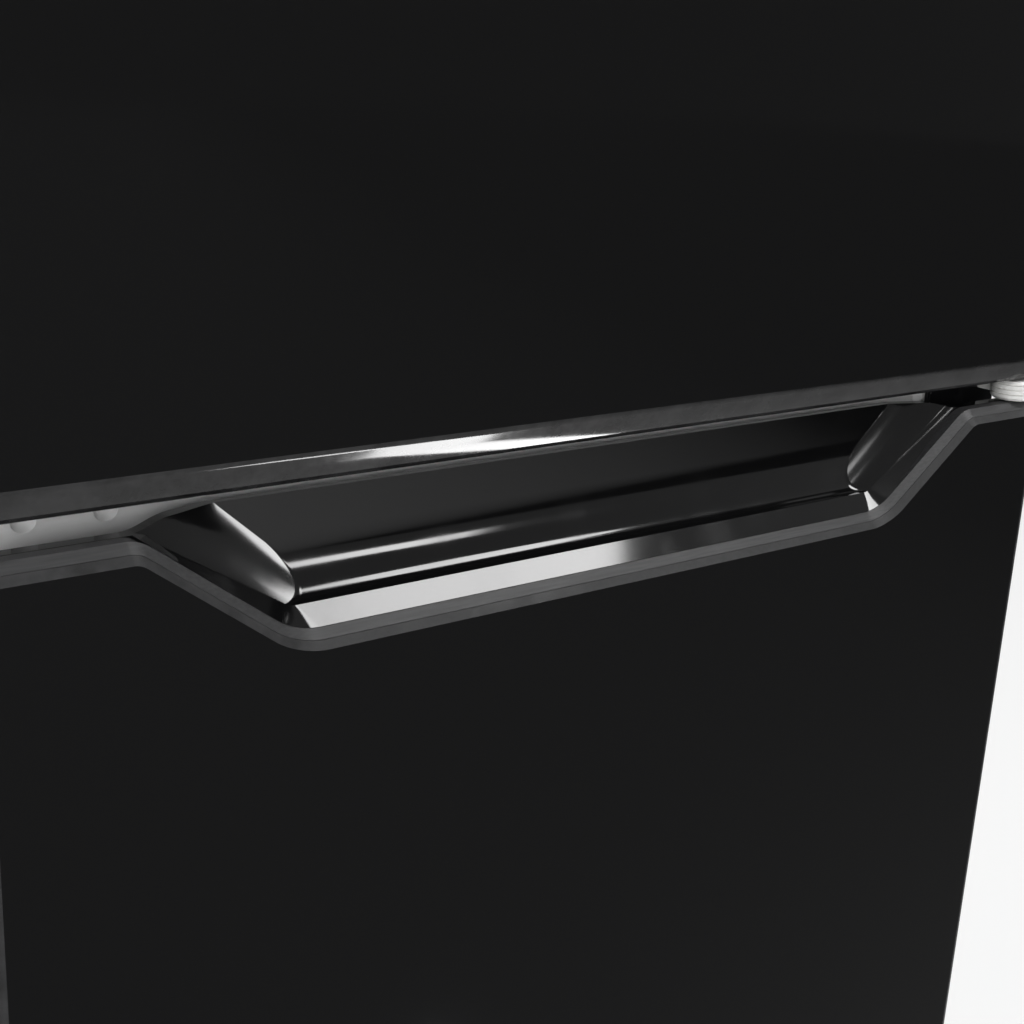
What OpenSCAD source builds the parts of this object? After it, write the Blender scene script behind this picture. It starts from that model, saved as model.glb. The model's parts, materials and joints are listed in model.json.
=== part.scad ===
// Built-in 15 inch trash compactor: black glass console over a pull-out drawer front with a
// scooped handle, a drawer with its bin on rollers, and a ram driven by two power screws.
// Millimetres. Origin on the floor under the middle of the cabinet, +Z up, front towards -Y.

/* [Cabinet] */
// Width of the glass panels
panel_w = 381; // [380:0.5:384]
// Height of the cabinet top above the floor
cabinet_h = 868; // [866:1:880]
// Depth from the glass to the back panel
cabinet_d = 610; // [606:1:640]
// Height of the recessed toe space
toe_h = 96; // [90:1:98]
// Depth of the toe space behind the glass
toe_d = 62; // [50:1:64]
// Thickness of the cabinet sheet
sheet_t = 1.5; // [1.2:0.1:2]

/* [Front panels] */
// Height of the console glass
console_h = 166; // [160:1:168]
// Height of the handle notch's bottom edge above the floor
notch_z = 650; // [648:1:652]
// Width of the handle notch's bottom edge
notch_w = 222.5; // [200:0.5:226]
// Depth of the handle notch below the panel's shoulders
notch_h = 30; // [28:0.5:32]
// Run of each slanted side of the notch
notch_run = 40.3; // [36:0.1:42]
// Radius of the notch's lower corners
notch_r = 7; // [5:0.5:9]
// Width and depth of the bevel round the drawer front
bevel = 4.4; // [4:0.1:5]
// Height of the reveal's upper edge above the drawer front's shoulders
reveal_h = 20.8; // [20:0.1:22]
// Thickness of each glass sheet
glass_t = 4; // [3.5:0.1:4.5]

/* [Handle pocket] */
// Depth of the pocket's back wall behind the glass
pocket_d = 17; // [16.5:0.1:18]
// Wall thickness of the pocket moulding
pocket_wall = 2.5; // [2:0.1:3]
// Height of the finger lip above the notch's bottom edge
lip_h = 9; // [8:0.5:10]
// Height of the rear rim above the moulding's top flange
rim_rise = 2; // [1:0.1:2.5]

/* [Drawer] */
// Travel of the drawer
drawer_travel = 380; // [300:5:380]
// Outer width of the bin at its rim
bin_w = 248; // [236:1:250]
// Length of the bin at its rim
bin_l = 420; // [400:1:424]
// Height of the bin
bin_h = 446; // [400:1:448]
// Wall thickness of the bin
bin_t = 2.4; // [2:0.1:3]
// Radius of the drawer rollers
roller_r = 11; // [10.5:0.1:11.2]

/* [Ram and drive] */
// Travel of the ram
ram_travel = 248; // [200:2:248]
// Distance of each power screw from the centre line
screw_x = 160; // [159:0.5:161]
// Position of the power screws along the depth
screw_y = -52; // [-56:1:-50]
// Radius of the power screws
screw_r = 9; // [8:0.5:9.5]
// Radius of the screw pulleys
pulley_r = 19; // [16:0.5:19]
// Radius of the motor pulley
motor_pulley_r = 15; // [12:0.5:19]
// Position of the motor along the depth
motor_y = 226; // [222:1:230]

/* [Controls] */
// Radius of the push buttons
button_r = 7; // [6:0.5:8]
// Travel of the push buttons
button_travel = 2.5; // [1:0.5:3]
// Distance between neighbouring push buttons
button_pitch = 30; // [26:1:34]
// Height of the controls below the console's top edge
control_drop = 34; // [32:1:36]

/* [Feet] */
// Radius of the levelling leg's pad
pad_r = 17; // [14:1:20]
// Travel of the levelling legs
leg_travel = 15; // [5:1:18]

/* [Hidden] */
$fn = 48;
eps = 0.01;

// --- places worked out from the driving dimensions ---
front_y = -cabinet_d / 2;               // face of the glass
back_y = cabinet_d / 2;                 // outer face of the back panel
shell_half = panel_w / 2 - 2.5;         // outer face of a side panel
inner_half = shell_half - sheet_t;      // inner face of a side panel
shell_front = front_y + 26;             // front edge of the cabinet shell
base_z = 24;                            // underside of the base pan
shoulder_z = notch_z + notch_h;         // face edge of the drawer front's shoulders
reveal_z = shoulder_z + reveal_h;       // face edge of the console's bottom
drawer_bottom_z = toe_h + 8;            // face edge of the drawer front's bottom
console_top_z = reveal_z + console_h;
face_half = panel_w / 2 - bevel;        // face edge of the panels' sides
side_bevel_d = 1.2;                     // depth of the shallow bevel on the panels' sides
frame_d = 8;                            // back of the metal frame behind each glass
slant = atan2(notch_h, notch_run);
back_face = back_y - 1.2;               // outer face of the back panel, under its screws' heads
inner_back = back_face - sheet_t;       // inner face of the back panel
channel_z = 54;                         // underside of the channel that carries the lower bearings
channel_h = 18;
beam_z = cabinet_h - 22;                // underside of the channel at the top
beam_h = 20;
running_gap = 0.05;                     // radial play of a running fit
moving_gap = 0.4;                       // play between other moving neighbours

// --- outlines, as lists of [x, z] seen from the front, turning anticlockwise ---
function unit(v) = v / norm(v);

// Points of a rounded corner at q between its neighbours p and s
function rounded_corner(p, q, s, r, n) =
    let (u = unit(p - q), v = unit(s - q),
         half = acos(max(-1, min(1, u * v))) / 2,
         centre = q + unit(u + v) * r / sin(half),
         start = q + u * r / tan(half) - centre,
         turn = (180 - 2 * half) * (u[0] * v[1] - u[1] * v[0] > 0 ? -1 : 1))
    [for (i = [0:n])
        let (a = turn * i / n)
        centre + [start[0] * cos(a) - start[1] * sin(a), start[0] * sin(a) + start[1] * cos(a)]];

// A polygon with corner i rounded to radii[i] in n steps
function rounded_outline(pts, radii, n) =
    let (c = len(pts))
    [for (i = [0:c - 1])
        each rounded_corner(pts[(i + c - 1) % c], pts[i], pts[(i + 1) % c], radii[i], n)];

// Drawer front grown by o at its top, bottom and notch, and by s at its sides. It starts at the
// middle of the bottom edge, from where the whole outline can be seen.
function drawer_outline(o, s) =
    let (t = tan(slant / 2) * o, lower = notch_w / 2 - t, upper = notch_w / 2 + notch_run - t,
         low = drawer_bottom_z - o, top = shoulder_z + o, side = face_half + s)
    concat([[0, low]], rounded_outline(
        [[side, low], [side, top], [upper, top], [lower, notch_z + o],
         [-lower, notch_z + o], [-upper, top], [-side, top], [-side, low]],
        [2, 2, 2.5 + o, notch_r - o, notch_r - o, 2.5 + o, 2, 2], 8));

// Console panel with its bottom edge lowered by o, and grown by s at its sides and top
function console_outline(o, s) =
    rounded_outline(
        [[-face_half - s, reveal_z - o], [face_half + s, reveal_z - o],
         [face_half + s, console_top_z - bevel + s], [-face_half - s, console_top_z - bevel + s]],
        [2, 2, 2, 2], 8);

// Solid through a row of outlines with equal point counts, each at its own depth. Each end is a
// fan of triangles round the outline's first point.
module loft(outlines, depths) {
    n = len(outlines[0]);
    last = len(outlines) - 1;
    points = [for (i = [0:last]) for (p = outlines[i]) [p[0], front_y + depths[i], p[1]]];
    front_cap = [for (j = [1:n - 2]) [0, j + 1, j]];
    back_cap = [for (j = [1:n - 2]) [last * n, last * n + j, last * n + j + 1]];
    sides = [for (i = [0:last - 1]) for (j = [0:n - 1]) let (k = (j + 1) % n)
        each [[i * n + j, i * n + k, (i + 1) * n + k], [i * n + j, (i + 1) * n + k, (i + 1) * n + j]]];
    polyhedron(points = points, faces = concat(front_cap, back_cap, sides), convexity = 6);
}

// --- general shapes ---
module block(low, high) {
    translate(low) cube(high - low);
}

module mirror_copy() {
    children();
    mirror([1, 0, 0]) children();
}

// Cylinder along X, Y or Z from a point
module rod_x(p, r, l) {
    translate(p) rotate([0, 90, 0]) cylinder(r = r, h = l);
}

module rod_y(p, r, l) {
    translate(p) rotate([-90, 0, 0]) cylinder(r = r, h = l);
}

module rod_z(p, r, l) {
    translate(p) cylinder(r = r, h = l);
}

// Box with rounded upright edges
module rounded_block(low, high, r) {
    linear = high - low;
    translate([low[0] + r, low[1] + r, low[2]])
        linear_extrude(linear[2]) rounded_rectangle(linear[0] - 2 * r, linear[1] - 2 * r, r);
}

module rounded_rectangle(w, l, r) {
    translate([-r, 0]) square([w + 2 * r, l]);
    translate([0, -r]) square([w, l + 2 * r]);
    for (x = [0, w]) for (y = [0, l]) translate([x, y]) circle(r = r);
}

// Pan-head screw whose head faces along a direction
module screw(p, turn, head_h = 2) {
    head_r = 4;
    socket_r = 1.8;
    translate(p) rotate(turn) difference() {
        rotate_extrude() polygon([[0, -7], [2, -7], [2, 0], [head_r, 0], [head_r, head_h * 0.6],
                                  [head_r * 0.7, head_h], [0, head_h]]);
        translate([0, 0, head_h * 0.4]) cylinder(r = socket_r, h = head_h, $fn = 6);
    }
}

// --- cabinet shell ---
foot_x = 164;
foot_front_y = front_y + toe_d + 26;
foot_rear_y = back_y - 36;
leg_r = 5;
leg_boss_r = 9;
pan_up = 28;

module base_pan() {
    half = inner_half - 1;
    front = front_y + toe_d + 3;
    rear = inner_back - sheet_t - 0.9;
    color("gray") difference() {
        union() {
            block([-half, front, base_z], [half, rear, base_z + sheet_t]);
            mirror_copy() block([half - sheet_t, front, base_z], [half, rear, base_z + pan_up]);
            block([-half, rear - sheet_t, base_z], [half, rear, base_z + pan_up]);
            for (x = [-foot_x, foot_x]) for (y = [foot_front_y, foot_rear_y])
                rod_z([x, y, base_z], leg_boss_r, 10);
        }
        for (x = [-foot_x, foot_x]) for (y = [foot_front_y, foot_rear_y])
            rod_z([x, y, base_z - 1], leg_r + running_gap, 12);
        // drain slots
        for (x = [-110:44:110])
            rounded_block([x - 14, motor_y - 66, base_z - 1], [x + 14, motor_y - 58, base_z + 3], 3.9);
    }
}

side_low_z = base_z - 2;
side_top_z = cabinet_h - sheet_t - 0.1;
fixing_y = 160;
fixing_z = 420;
fixing_r = 2.6;
beam_screw_y = 22;         // offset of the channels' end screws from the power screws' plane
beam_screw_zs = [channel_z + channel_h / 2, beam_z + beam_h / 2];
screw_hole_r = 2.2;
back_screw_zs = [80, 300, 520, 740];
rib_count = 5;

module side_panel() {
    flange = 16;
    rear = inner_back - 0.5;
    difference() {
        union() {
            block([-shell_half, shell_front, side_low_z], [-inner_half, rear, side_top_z]);
            block([-shell_half, shell_front, toe_h], [-shell_half + 9, shell_front + sheet_t, side_top_z]);
            block([-shell_half, rear - sheet_t, side_low_z], [-shell_half + flange, rear, side_top_z]);
        }
        // toe space at the front
        block([-shell_half - 1, shell_front - 1, side_low_z - 1], [-shell_half + 30, front_y + toe_d, toe_h]);
        // room behind the light rail's ends
        block([-shell_half + 3, shell_front - 1, rail_z0 - 0.4],
              [-shell_half + 10, shell_front + 3, rail_z1 + 0.4]);
        // holes for screws into the neighbouring cupboards
        for (y = [-fixing_y, fixing_y]) rod_x([-shell_half - 1, y, fixing_z], fixing_r, 4);
        // holes for the screws into the channels and the back panel
        for (y = [screw_y - beam_screw_y, screw_y + beam_screw_y]) for (z = beam_screw_zs)
            rod_x([-shell_half - 1, y, z], screw_hole_r, 4);
        for (z = back_screw_zs) rod_y([-shell_half + 9, back_y - 8, z], screw_hole_r, 8);
    }
    // pressed stiffening ribs standing in from the sheet
    for (i = [0:rib_count - 1]) translate([-inner_half, 0, 0])
        rounded_rib(shell_front + 60 + i * 105, 230, side_top_z - 110);
}

// Long pressed rib on the inside of a side panel
module rounded_rib(y, z0, z1) {
    intersection() {
        union() {
            translate([-1.5, y, z0]) cylinder(r = 4, h = z1 - z0);
            for (z = [z0, z1]) translate([-1.5, y, z]) sphere(r = 4);
        }
        block([-sheet_t / 2, y - 10, z0 - 10], [6, y + 10, z1 + 10]);
    }
}

module left_side_panel() {
    color("dimgray") side_panel();
}

module right_side_panel() {
    color("dimgray") mirror([1, 0, 0]) side_panel();
}

gland_x = -120;
gland_z = 150;
gland_r = 11;
cable_r = 4.2;
vent_z = 545;
vent_rows = 7;
vent_pitch = 14;
vent_l = 28;

module back_panel() {
    color("silver") difference() {
        union() {
            block([-shell_half + 1, inner_back, side_low_z + 2], [shell_half - 1, back_face, side_top_z - 2]);
            // pressed stiffening ribs
            for (x = [-90, 0, 90]) intersection() {
                rod_z([x, back_face, 190], 7, 240);
                block([x - 10, back_face - 6, 180], [x + 10, back_face - 0.5, 440]);
            }
        }
        mirror_copy() for (z = back_screw_zs) rod_y([shell_half - 9, back_y - 6, z], screw_hole_r, 8);
        rod_y([gland_x, back_y - 6, gland_z], gland_r, 10);
        // vent slots behind the odour filter
        for (i = [0:vent_rows - 1]) for (x = [-42, 14])
            rod_slot([x, vent_z + (i - (vent_rows - 1) / 2) * vent_pitch], vent_l, 4);
        // vent slots behind the motor
        for (i = [0:3]) for (x = [14, 62]) rod_slot([x, 70 + i * vent_pitch], vent_l, 4);
    }
}

// Round-ended slot through the back panel, starting at [x, z]
module rod_slot(p, l, w) {
    for (x = [p[0], p[0] + l]) rod_y([x, back_y - 9, p[1]], w / 2, 12);
    block([p[0], back_y - 9, p[1] - w / 2], [p[0] + l, back_y + 3, p[1] + w / 2]);
}

tab_x = 150;
tab_y = shell_front + 12;
tab_hole_r = 2.8;
vent_top_y = 180;

module top_panel() {
    low = cabinet_h - 16;
    color("silver") difference() {
        union() {
            block([-shell_half, shell_front, cabinet_h - sheet_t], [shell_half, back_y - 2, cabinet_h]);
            mirror_copy()
                block([inner_half - 3, shell_front + 2, low],
                      [inner_half - 3 + sheet_t, back_y - 6, cabinet_h - eps]);
            block([-inner_half + 3, shell_front + 2, low],
                  [inner_half - 3, shell_front + 2 + sheet_t, cabinet_h - eps]);
        }
        // holes for the top channel's end screws
        for (y = [screw_y - beam_screw_y, screw_y + beam_screw_y])
            rod_x([-shell_half, y, beam_z + beam_h / 2], screw_hole_r, 2 * shell_half);
        // holes for the screws that hold the machine up to the worktop
        for (x = [-tab_x, tab_x]) rod_z([x, tab_y, cabinet_h - 4], tab_hole_r, 6);
        // vent slots
        for (x = [-100:50:100])
            rounded_block([x - 12, vent_top_y, cabinet_h - 4], [x + 12, vent_top_y + 6, cabinet_h + 1], 2.9);
    }
}

module toe_kick() {
    skin = 1.2;
    half = inner_half - 1;
    front = front_y + toe_d + 1;
    color("black") {
        block([-half, front, 12], [half, front + skin, toe_h - 2]);
        block([-half, front, toe_h - 2 - skin], [half, front + 13, toe_h - 2]);
    }
}

// --- light rails across the cabinet's mouth ---
rail_d = 24;                // front of the rail behind the glass
rail_z0 = notch_z + 26;     // underside of the rail
rail_z1 = notch_z + 62;     // top of the rail
rail_half = shell_half - 3.3;
rail_nose_r = 9;
dimple_r = 2.6;
dimple_xs = [149, 169];

// Section of the upper rail: front at y, a rounded nose below, open towards the back
module rail_section() {
    y = front_y + rail_d;
    depth = 22;
    wall = 3;
    r = rail_nose_r;
    h = rail_z1 - rail_z0;
    translate([y, rail_z0]) difference() {
        union() {
            translate([r, r]) circle(r = r);
            translate([0, r]) square([depth, h - r]);
            translate([r, 0]) square([depth - r, h / 2]);
        }
        translate([wall, r]) square([depth, h - r - wall]);
        translate([r, wall]) square([depth, h / 2]);
    }
}

module front_cross_rail() {
    color("lightgray") difference() {
        translate([-rail_half, 0, 0]) rotate([90, 0, 90]) linear_extrude(2 * rail_half) rail_section();
        // shallow round dimples over the rail's rivets
        for (s = [-1, 1]) for (x = dimple_xs)
            rod_y([s * x, front_y + rail_d - 1, notch_z + 37], dimple_r, 1.6);
    }
}

module lower_cross_rail() {
    color("lightgray") difference() {
        block([-inner_half + 9.5, shell_front, toe_h + 1], [inner_half - 9.5, shell_front + 10, toe_h + 5]);
        block([-inner_half, shell_front + sheet_t, toe_h],
              [inner_half, shell_front + 11, toe_h + 5 - sheet_t]);
    }
}

// --- console ---
console_bottom_d = 5;      // depth of the rounded bottom edge
console_drop = 8.5;        // how far that edge falls
control_z = console_top_z - control_drop;
console_ear_zs = [720, 770];
key_x = 130;
key_r = 9;
key_shaft_r = 6;
button_xs = [for (i = [-1:1]) -100 + i * button_pitch];

// Drop of the console's rounded bottom edge at a depth behind the face
function console_fall(d) = console_drop * pow(sin(90 * min(1, d / console_bottom_d)), 1.15);

module control_holes(extra) {
    for (x = button_xs) rod_y([x, front_y - 1, control_z], button_r + extra, 60);
    rod_y([key_x, front_y - 1, control_z], key_r + extra, 60);
}

module console_glass() {
    depths = [for (i = [0:5]) glass_t * i / 5];
    color("black") difference() {
        loft([for (d = depths) console_outline(console_fall(d), bevel * min(1, d / side_bevel_d))], depths);
        control_holes(moving_gap);
    }
}

module console_frame() {
    depths = [glass_t + 0.1, console_bottom_d, frame_d];
    color("darkslategray") difference() {
        union() {
            loft([for (d = depths) console_outline(console_fall(d), bevel)], depths);
            // ears that carry the console on the side panels' front flanges
            mirror_copy() for (z = console_ear_zs) {
                block([166, front_y + frame_d - eps, z], [184, shell_front - 0.1, z + 2.5]);
                block([166, shell_front - 2.5, z], [184, shell_front - 0.1, z + 24]);
            }
        }
        control_holes(moving_gap + 1);
    }
}

housing_low = reveal_z + 30;
housing_high = console_top_z - 18;
housing_front = front_y + frame_d + 0.2;
housing_back = front_y + 46;
housing_half = 150;

module control_housing() {
    wall = 2.5;
    color("dimgray") difference() {
        rounded_box_y([-housing_half, housing_front, housing_low],
                      [housing_half, housing_back, housing_high], 6);
        rounded_box_y([-housing_half + wall, housing_front + wall, housing_low + wall],
                      [housing_half - wall, housing_back + 1, housing_high - wall], 4);
        for (x = button_xs) rod_y([x, front_y, control_z], button_r + moving_gap, 20);
        rod_y([key_x, front_y, control_z], key_r + 1.5, 20);
    }
}

// Box with rounded edges along Y
module rounded_box_y(low, high, r) {
    size = high - low;
    translate([low[0] + r, high[1], low[2] + r]) rotate([90, 0, 0])
        linear_extrude(size[1]) rounded_rectangle(size[0] - 2 * r, size[2] - 2 * r, r);
}

board_d = 34;              // front of the board behind the glass
switch_h = 7;              // height of the switch behind each button

module control_board() {
    y = front_y + board_d;
    color("darkgreen") {
        block([-140, y, housing_low + 8], [96, y + 1.6, housing_high - 6]);
        block([-20, y + 1.5, housing_low + 30], [22, y + 10, housing_low + 60]);
        for (x = [40:16:72]) rod_y([x, y + 1.5, housing_low + 46], 6, 9);
        for (x = button_xs) block([x - 6, y - switch_h, control_z - 6], [x + 6, y + 0.1, control_z + 6]);
    }
}

module key_switch_body() {
    color("silver") difference() {
        union() {
            rod_y([key_x, front_y + 11.5, control_z], key_r + 1, 26);
            rod_y([key_x, front_y + 11.5, control_z], key_r + 4, 2);
            rod_y([key_x, front_y + 37, control_z], 7, 7);
        }
        rod_y([key_x, front_y + 10, control_z], key_shaft_r + running_gap, 18);
    }
}

// Push button: cap with a softened edge, and a stem that ends just in front of its switch
module push_button(x) {
    cap = 12;
    stem_r = button_r - 2.5;
    end = board_d - switch_h - 0.5 - button_travel;
    translate([x, front_y, control_z]) rotate([-90, 0, 0]) rotate_extrude()
        polygon([[0, 0], [button_r - 1, 0], [button_r - 0.3, 0.3], [button_r, 1], [button_r, cap],
                 [stem_r, cap], [stem_r, end], [0, end]]);
}

module start_button() {
    color("silver") push_button(button_xs[0]);
}

module stop_button() {
    color("silver") push_button(button_xs[1]);
}

module extra_pack_button() {
    color("silver") push_button(button_xs[2]);
}

module key_knob() {
    color("silver") {
        rod_y([key_x, front_y + 2, control_z], key_r, 9);
        rod_y([key_x, front_y + 10, control_z], key_shaft_r, 16);
        // finger bar across the knob
        rounded_box_y([key_x - key_r * 0.8, front_y, control_z - 2],
                      [key_x + key_r * 0.8, front_y + 2 + eps, control_z + 2], 1.9);
    }
}

// --- drawer front ---
module drawer_glass() {
    edge = bevel * 0.45;
    side = bevel - 1.5;
    color("black")
        loft([drawer_outline(0, 0), drawer_outline(side_bevel_d, side), drawer_outline(edge, side),
              drawer_outline(edge, side)],
             [0, side_bevel_d, edge, glass_t]);
}

module drawer_frame() {
    edge = bevel * 0.45;
    seat = drawer_outline(edge + 0.05, bevel - 1.4);
    color("gray") difference() {
        loft([drawer_outline(edge + 0.1, bevel - 0.9), drawer_outline(bevel, bevel),
              drawer_outline(bevel, bevel)],
             [edge + 0.1, bevel, frame_d]);
        loft([seat, seat], [0, glass_t + 0.1]);
    }
}

// Open-topped trapezoid of the pocket: lower half-width, upper half-width at the shoulder line
function pocket_outline(low_z, lower, upper, r) =
    let (top = shoulder_z + 20, line = shoulder_z + bevel,
         wide = upper + (upper - lower) * (top - line) / (line - low_z))
    rounded_outline([[-wide, top], [-lower, low_z], [lower, low_z], [wide, top]], [1, r, r, 1], 8);

lip_d = 9;                 // depth of the finger lip's crest
lip_lower = notch_w / 2 - 2.2;
lip_upper = notch_w / 2 + notch_run - 2.6;
floor_h = 6.5;             // floor behind the lip
end_taper_low = 14.2;      // how far the end walls close in at the floor
end_taper_top = 19.4;      // and at the rim
cavity_steps = 8;

// Outline of the pocket's hollow at a depth behind the glass
function cavity_outline(d) =
    let (u = min(1, max(0, (d - lip_d) / (pocket_d - lip_d))),
         back = max(0, (u - 0.62) / 0.38),
         low = d <= lip_d + eps ? lip_h : floor_h + 3 * (1 - sqrt(1 - min(1, back * back))))
    pocket_outline(notch_z + low, lip_lower - end_taper_low * pow(u, 1.4),
                   lip_upper - end_taper_top * pow(u, 4), 4 + 2 * u);

// Height of the moulding's top edge: flange, an S-shaped rise, and the rear rim
function rim_z(x) =
    let (a = notch_w / 2 + notch_run - 1, b = a - 21, t = min(1, max(0, (a - abs(x)) / (a - b))))
    shoulder_z + bevel + rim_rise * (1 - cos(180 * t)) / 2;

flange_back = 14.7;
flange_half = 182;

module handle_pocket() {
    notch_edge = bevel + 0.1;
    color("black") difference() {
        intersection() {
            union() {
                // finger lip inside the frame's notch
                loft([for (d = [bevel, frame_d + 1]) notch_plug(notch_edge)], [bevel, frame_d + 1]);
                // walls round the hollow
                loft([notch_plug(-3), notch_plug(-3)], [frame_d + 0.2, pocket_d + pocket_wall]);
                // flange along the drawer front's top edge
                block([-flange_half, front_y + frame_d + 0.2, shoulder_z + bevel - 3],
                      [flange_half, front_y + flange_back, shoulder_z + bevel + 8]);
                block([-flange_half, front_y + frame_d + 0.2, shoulder_z - 10],
                      [flange_half, front_y + frame_d + 2.4, shoulder_z + bevel]);
            }
            rim_prism();
        }
        // funnel from the frame's edge up to the lip's crest
        loft([pocket_outline(notch_z + notch_edge - 0.05, notch_w / 2 - 1.5, notch_w / 2 + notch_run - 1.4,
                             notch_r - bevel),
              pocket_outline(notch_z + lip_h, lip_lower, lip_upper, 4)],
             [bevel - 0.1, lip_d]);
        loft([for (i = [0:cavity_steps]) cavity_outline(cavity_depth(i))],
             [for (i = [0:cavity_steps]) cavity_depth(i)]);
    }
}

// Depths of the hollow's layers, closer together towards the back wall
function cavity_depth(i) =
    i == 0 ? lip_d - 0.05 : lip_d + 0.6 + (pocket_d - lip_d - 0.6) * sin(90 * (i - 1) / (cavity_steps - 1));

// Notch shape inside the drawer front, shrunk by o, running up past the shoulders
function notch_plug(o) =
    let (t = tan(slant / 2) * o, run = notch_run * (notch_h + bevel - o) / notch_h)
    pocket_outline(notch_z + o, notch_w / 2 - t, notch_w / 2 + run - t, max(2, notch_r - o));

// Everything below the moulding's top edge
module rim_prism() {
    low = notch_z - 20;
    translate([0, front_y + pocket_d + pocket_wall + 1, 0]) rotate([90, 0, 0])
        linear_extrude(pocket_d + pocket_wall)
        polygon(concat([[-flange_half - 1, low]], [[flange_half + 1, low]],
                       [for (i = [40:-1:-40]) let (x = (flange_half + 1) * i / 40) [x, rim_z(x)]]));
}

pan_half = 180;
pan_low = drawer_bottom_z + 10;
pan_high = shoulder_z - 12;
pan_back = 24;

module drawer_pan() {
    skin = 1.2;
    color("dimgray") difference() {
        block([-pan_half, front_y + frame_d + 0.2, pan_low], [pan_half, front_y + pan_back, pan_high]);
        block([-pan_half + skin, front_y + frame_d + 0.2 + skin, pan_low + skin],
              [pan_half - skin, front_y + pan_back + 1, pan_high - skin]);
        // opening for the handle pocket
        loft([notch_plug(-3.4), notch_plug(-3.4)], [frame_d - 1, pan_back + 2]);
        // lightening holes
        for (x = [-60, 0, 60]) for (z = [pan_low + 70, pan_high - 120]) rod_y([x, front_y, z], 9, 20);
    }
}

// --- drawer ---
rail_in = bin_w / 2 + 4;        // inner face of the drawer rail
rail_w = 8.5;
rail_z = 112;
rail_h = 30;
front_roller_y = shell_front + 18;
drawer_rear = front_roller_y + drawer_travel + 31;   // the rails still lap the rollers when open
track_in = rail_in + rail_w + 1;
track_w = 12;
track_rear = 200;
rear_roller_y = drawer_rear - 12;
axle_r = 3;
front_roller_z = rail_z + rail_h - 1.5 - moving_gap - roller_r;
rear_roller_z = rail_z + 1.5 + moving_gap + roller_r;

// C-channel along Y, open towards +X
module channel_y(x, y0, y1, z, w, h, t) {
    difference() {
        block([x, y0, z], [x + w, y1, z + h]);
        block([x + t, y0 - 1, z + t], [x + w + 1, y1 + 1, z + h - t]);
    }
}

module drawer_rails() {
    y = front_y + pan_back + 0.1;
    color("silver") mirror_copy() {
        channel_y(rail_in, y + 0.2, drawer_rear, rail_z, rail_w, rail_h, 1.5);
        // upright bracket that carries the drawer pan, and its stiffening web
        block([rail_in, y, rail_z], [rail_in + 30, y + 2.1, rail_z + 250]);
        block([rail_in, y, rail_z + rail_h - 1], [rail_in + 2, y + 26, rail_z + 150]);
        // spacers to the pan's front skin
        for (z = [rail_z + 60, rail_z + 220])
            block([rail_in + 8, front_y + frame_d + 1.5, z], [rail_in + 26, y + 0.1, z + 12]);
    }
}

module cabinet_tracks() {
    color("silver") mirror_copy()
        translate([2 * track_in + track_w, 0, 0]) mirror([1, 0, 0])
            channel_y(track_in, front_roller_y - 16, track_rear, rail_z, track_w, rail_h, 1.5);
}

module track_brackets() {
    color("gray") mirror_copy() for (y = [-200, 170]) {
        block([track_in + 1, y, base_z + sheet_t + 0.1], [track_in + track_w, y + 24, base_z + 4]);
        block([track_in + track_w - 3, y, base_z + sheet_t + 0.1],
              [track_in + track_w, y + 24, rail_z - 0.1]);
        block([track_in + 1, y, rail_z - 2.1], [track_in + track_w, y + 24, rail_z - 0.1]);
    }
}

module front_axles() {
    color("silver") mirror_copy() {
        rod_x([rail_in + 2, front_roller_y, front_roller_z], axle_r, track_in + track_w - rail_in - 3.6);
        rod_x([track_in + 0.5, front_roller_y, front_roller_z], 5.5, track_w - 2.1);
    }
}

module rear_axles() {
    color("silver") mirror_copy() {
        rod_x([rail_in + 1.6, rear_roller_y, rear_roller_z], axle_r, track_in + track_w - rail_in - 4);
        rod_x([rail_in + 1.6, rear_roller_y, rear_roller_z], 5.5, rail_w);
    }
}

// Grooved nylon roller on an axle along X
module roller(x, y, z, w) {
    translate([x, y, z]) rotate([0, 90, 0]) rotate_extrude() difference() {
        translate([axle_r + running_gap, 0]) square([roller_r - axle_r - running_gap, w]);
        translate([roller_r - 0.6, w]) rotate(45) square([2, 2]);
        translate([(roller_r + axle_r) / 2 - 1.2, w - 1]) square([2.6, 2]);
    }
}

module front_rollers() {
    color("ivory") mirror_copy() roller(rail_in + 2.5, front_roller_y, front_roller_z, 5.5);
}

module rear_rollers() {
    color("ivory") mirror_copy() roller(track_in + 2.5, rear_roller_y, rear_roller_z, 6.5);
}

cradle_z = 104;
bin_y = -52;
cradle_rear = bin_y + bin_l / 2 + 4;

module drawer_cradle() {
    lip = 26;
    skin = 1.3;
    front = front_y + pan_back + 2.4;
    color("gray") difference() {
        block([-rail_in + 0.1, front, cradle_z], [rail_in - 0.1, cradle_rear, cradle_z + lip]);
        block([-rail_in + 0.1 + skin, front + skin, cradle_z + skin],
              [rail_in - 0.1 - skin, cradle_rear - skin, cradle_z + lip + 1]);
        // lightening holes in the floor
        for (x = [-80, 0, 80]) for (y = [-210:70:90])
            rounded_block([x - 26, y - 18, cradle_z - 1], [x + 26, y + 18, cradle_z + 2], 8);
    }
}

bin_low = cradle_z + 2;
bin_taper = 7;          // how far each wall leans in towards the floor
bin_corner = 22;

// Tapered tub with rounded corners, shrunk by s and raised by up
module bin_tub(s, up, top) {
    hull() {
        for (end = [[bin_low + up, bin_taper], [top, 0]])
            for (x = [-1, 1]) for (y = [-1, 1])
                translate([x * (bin_w / 2 - s - end[1] - bin_corner),
                           bin_y + y * (bin_l / 2 - s - end[1] - bin_corner), end[0]])
                    cylinder(r = bin_corner, h = eps, $fn = 32);
    }
}

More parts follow.
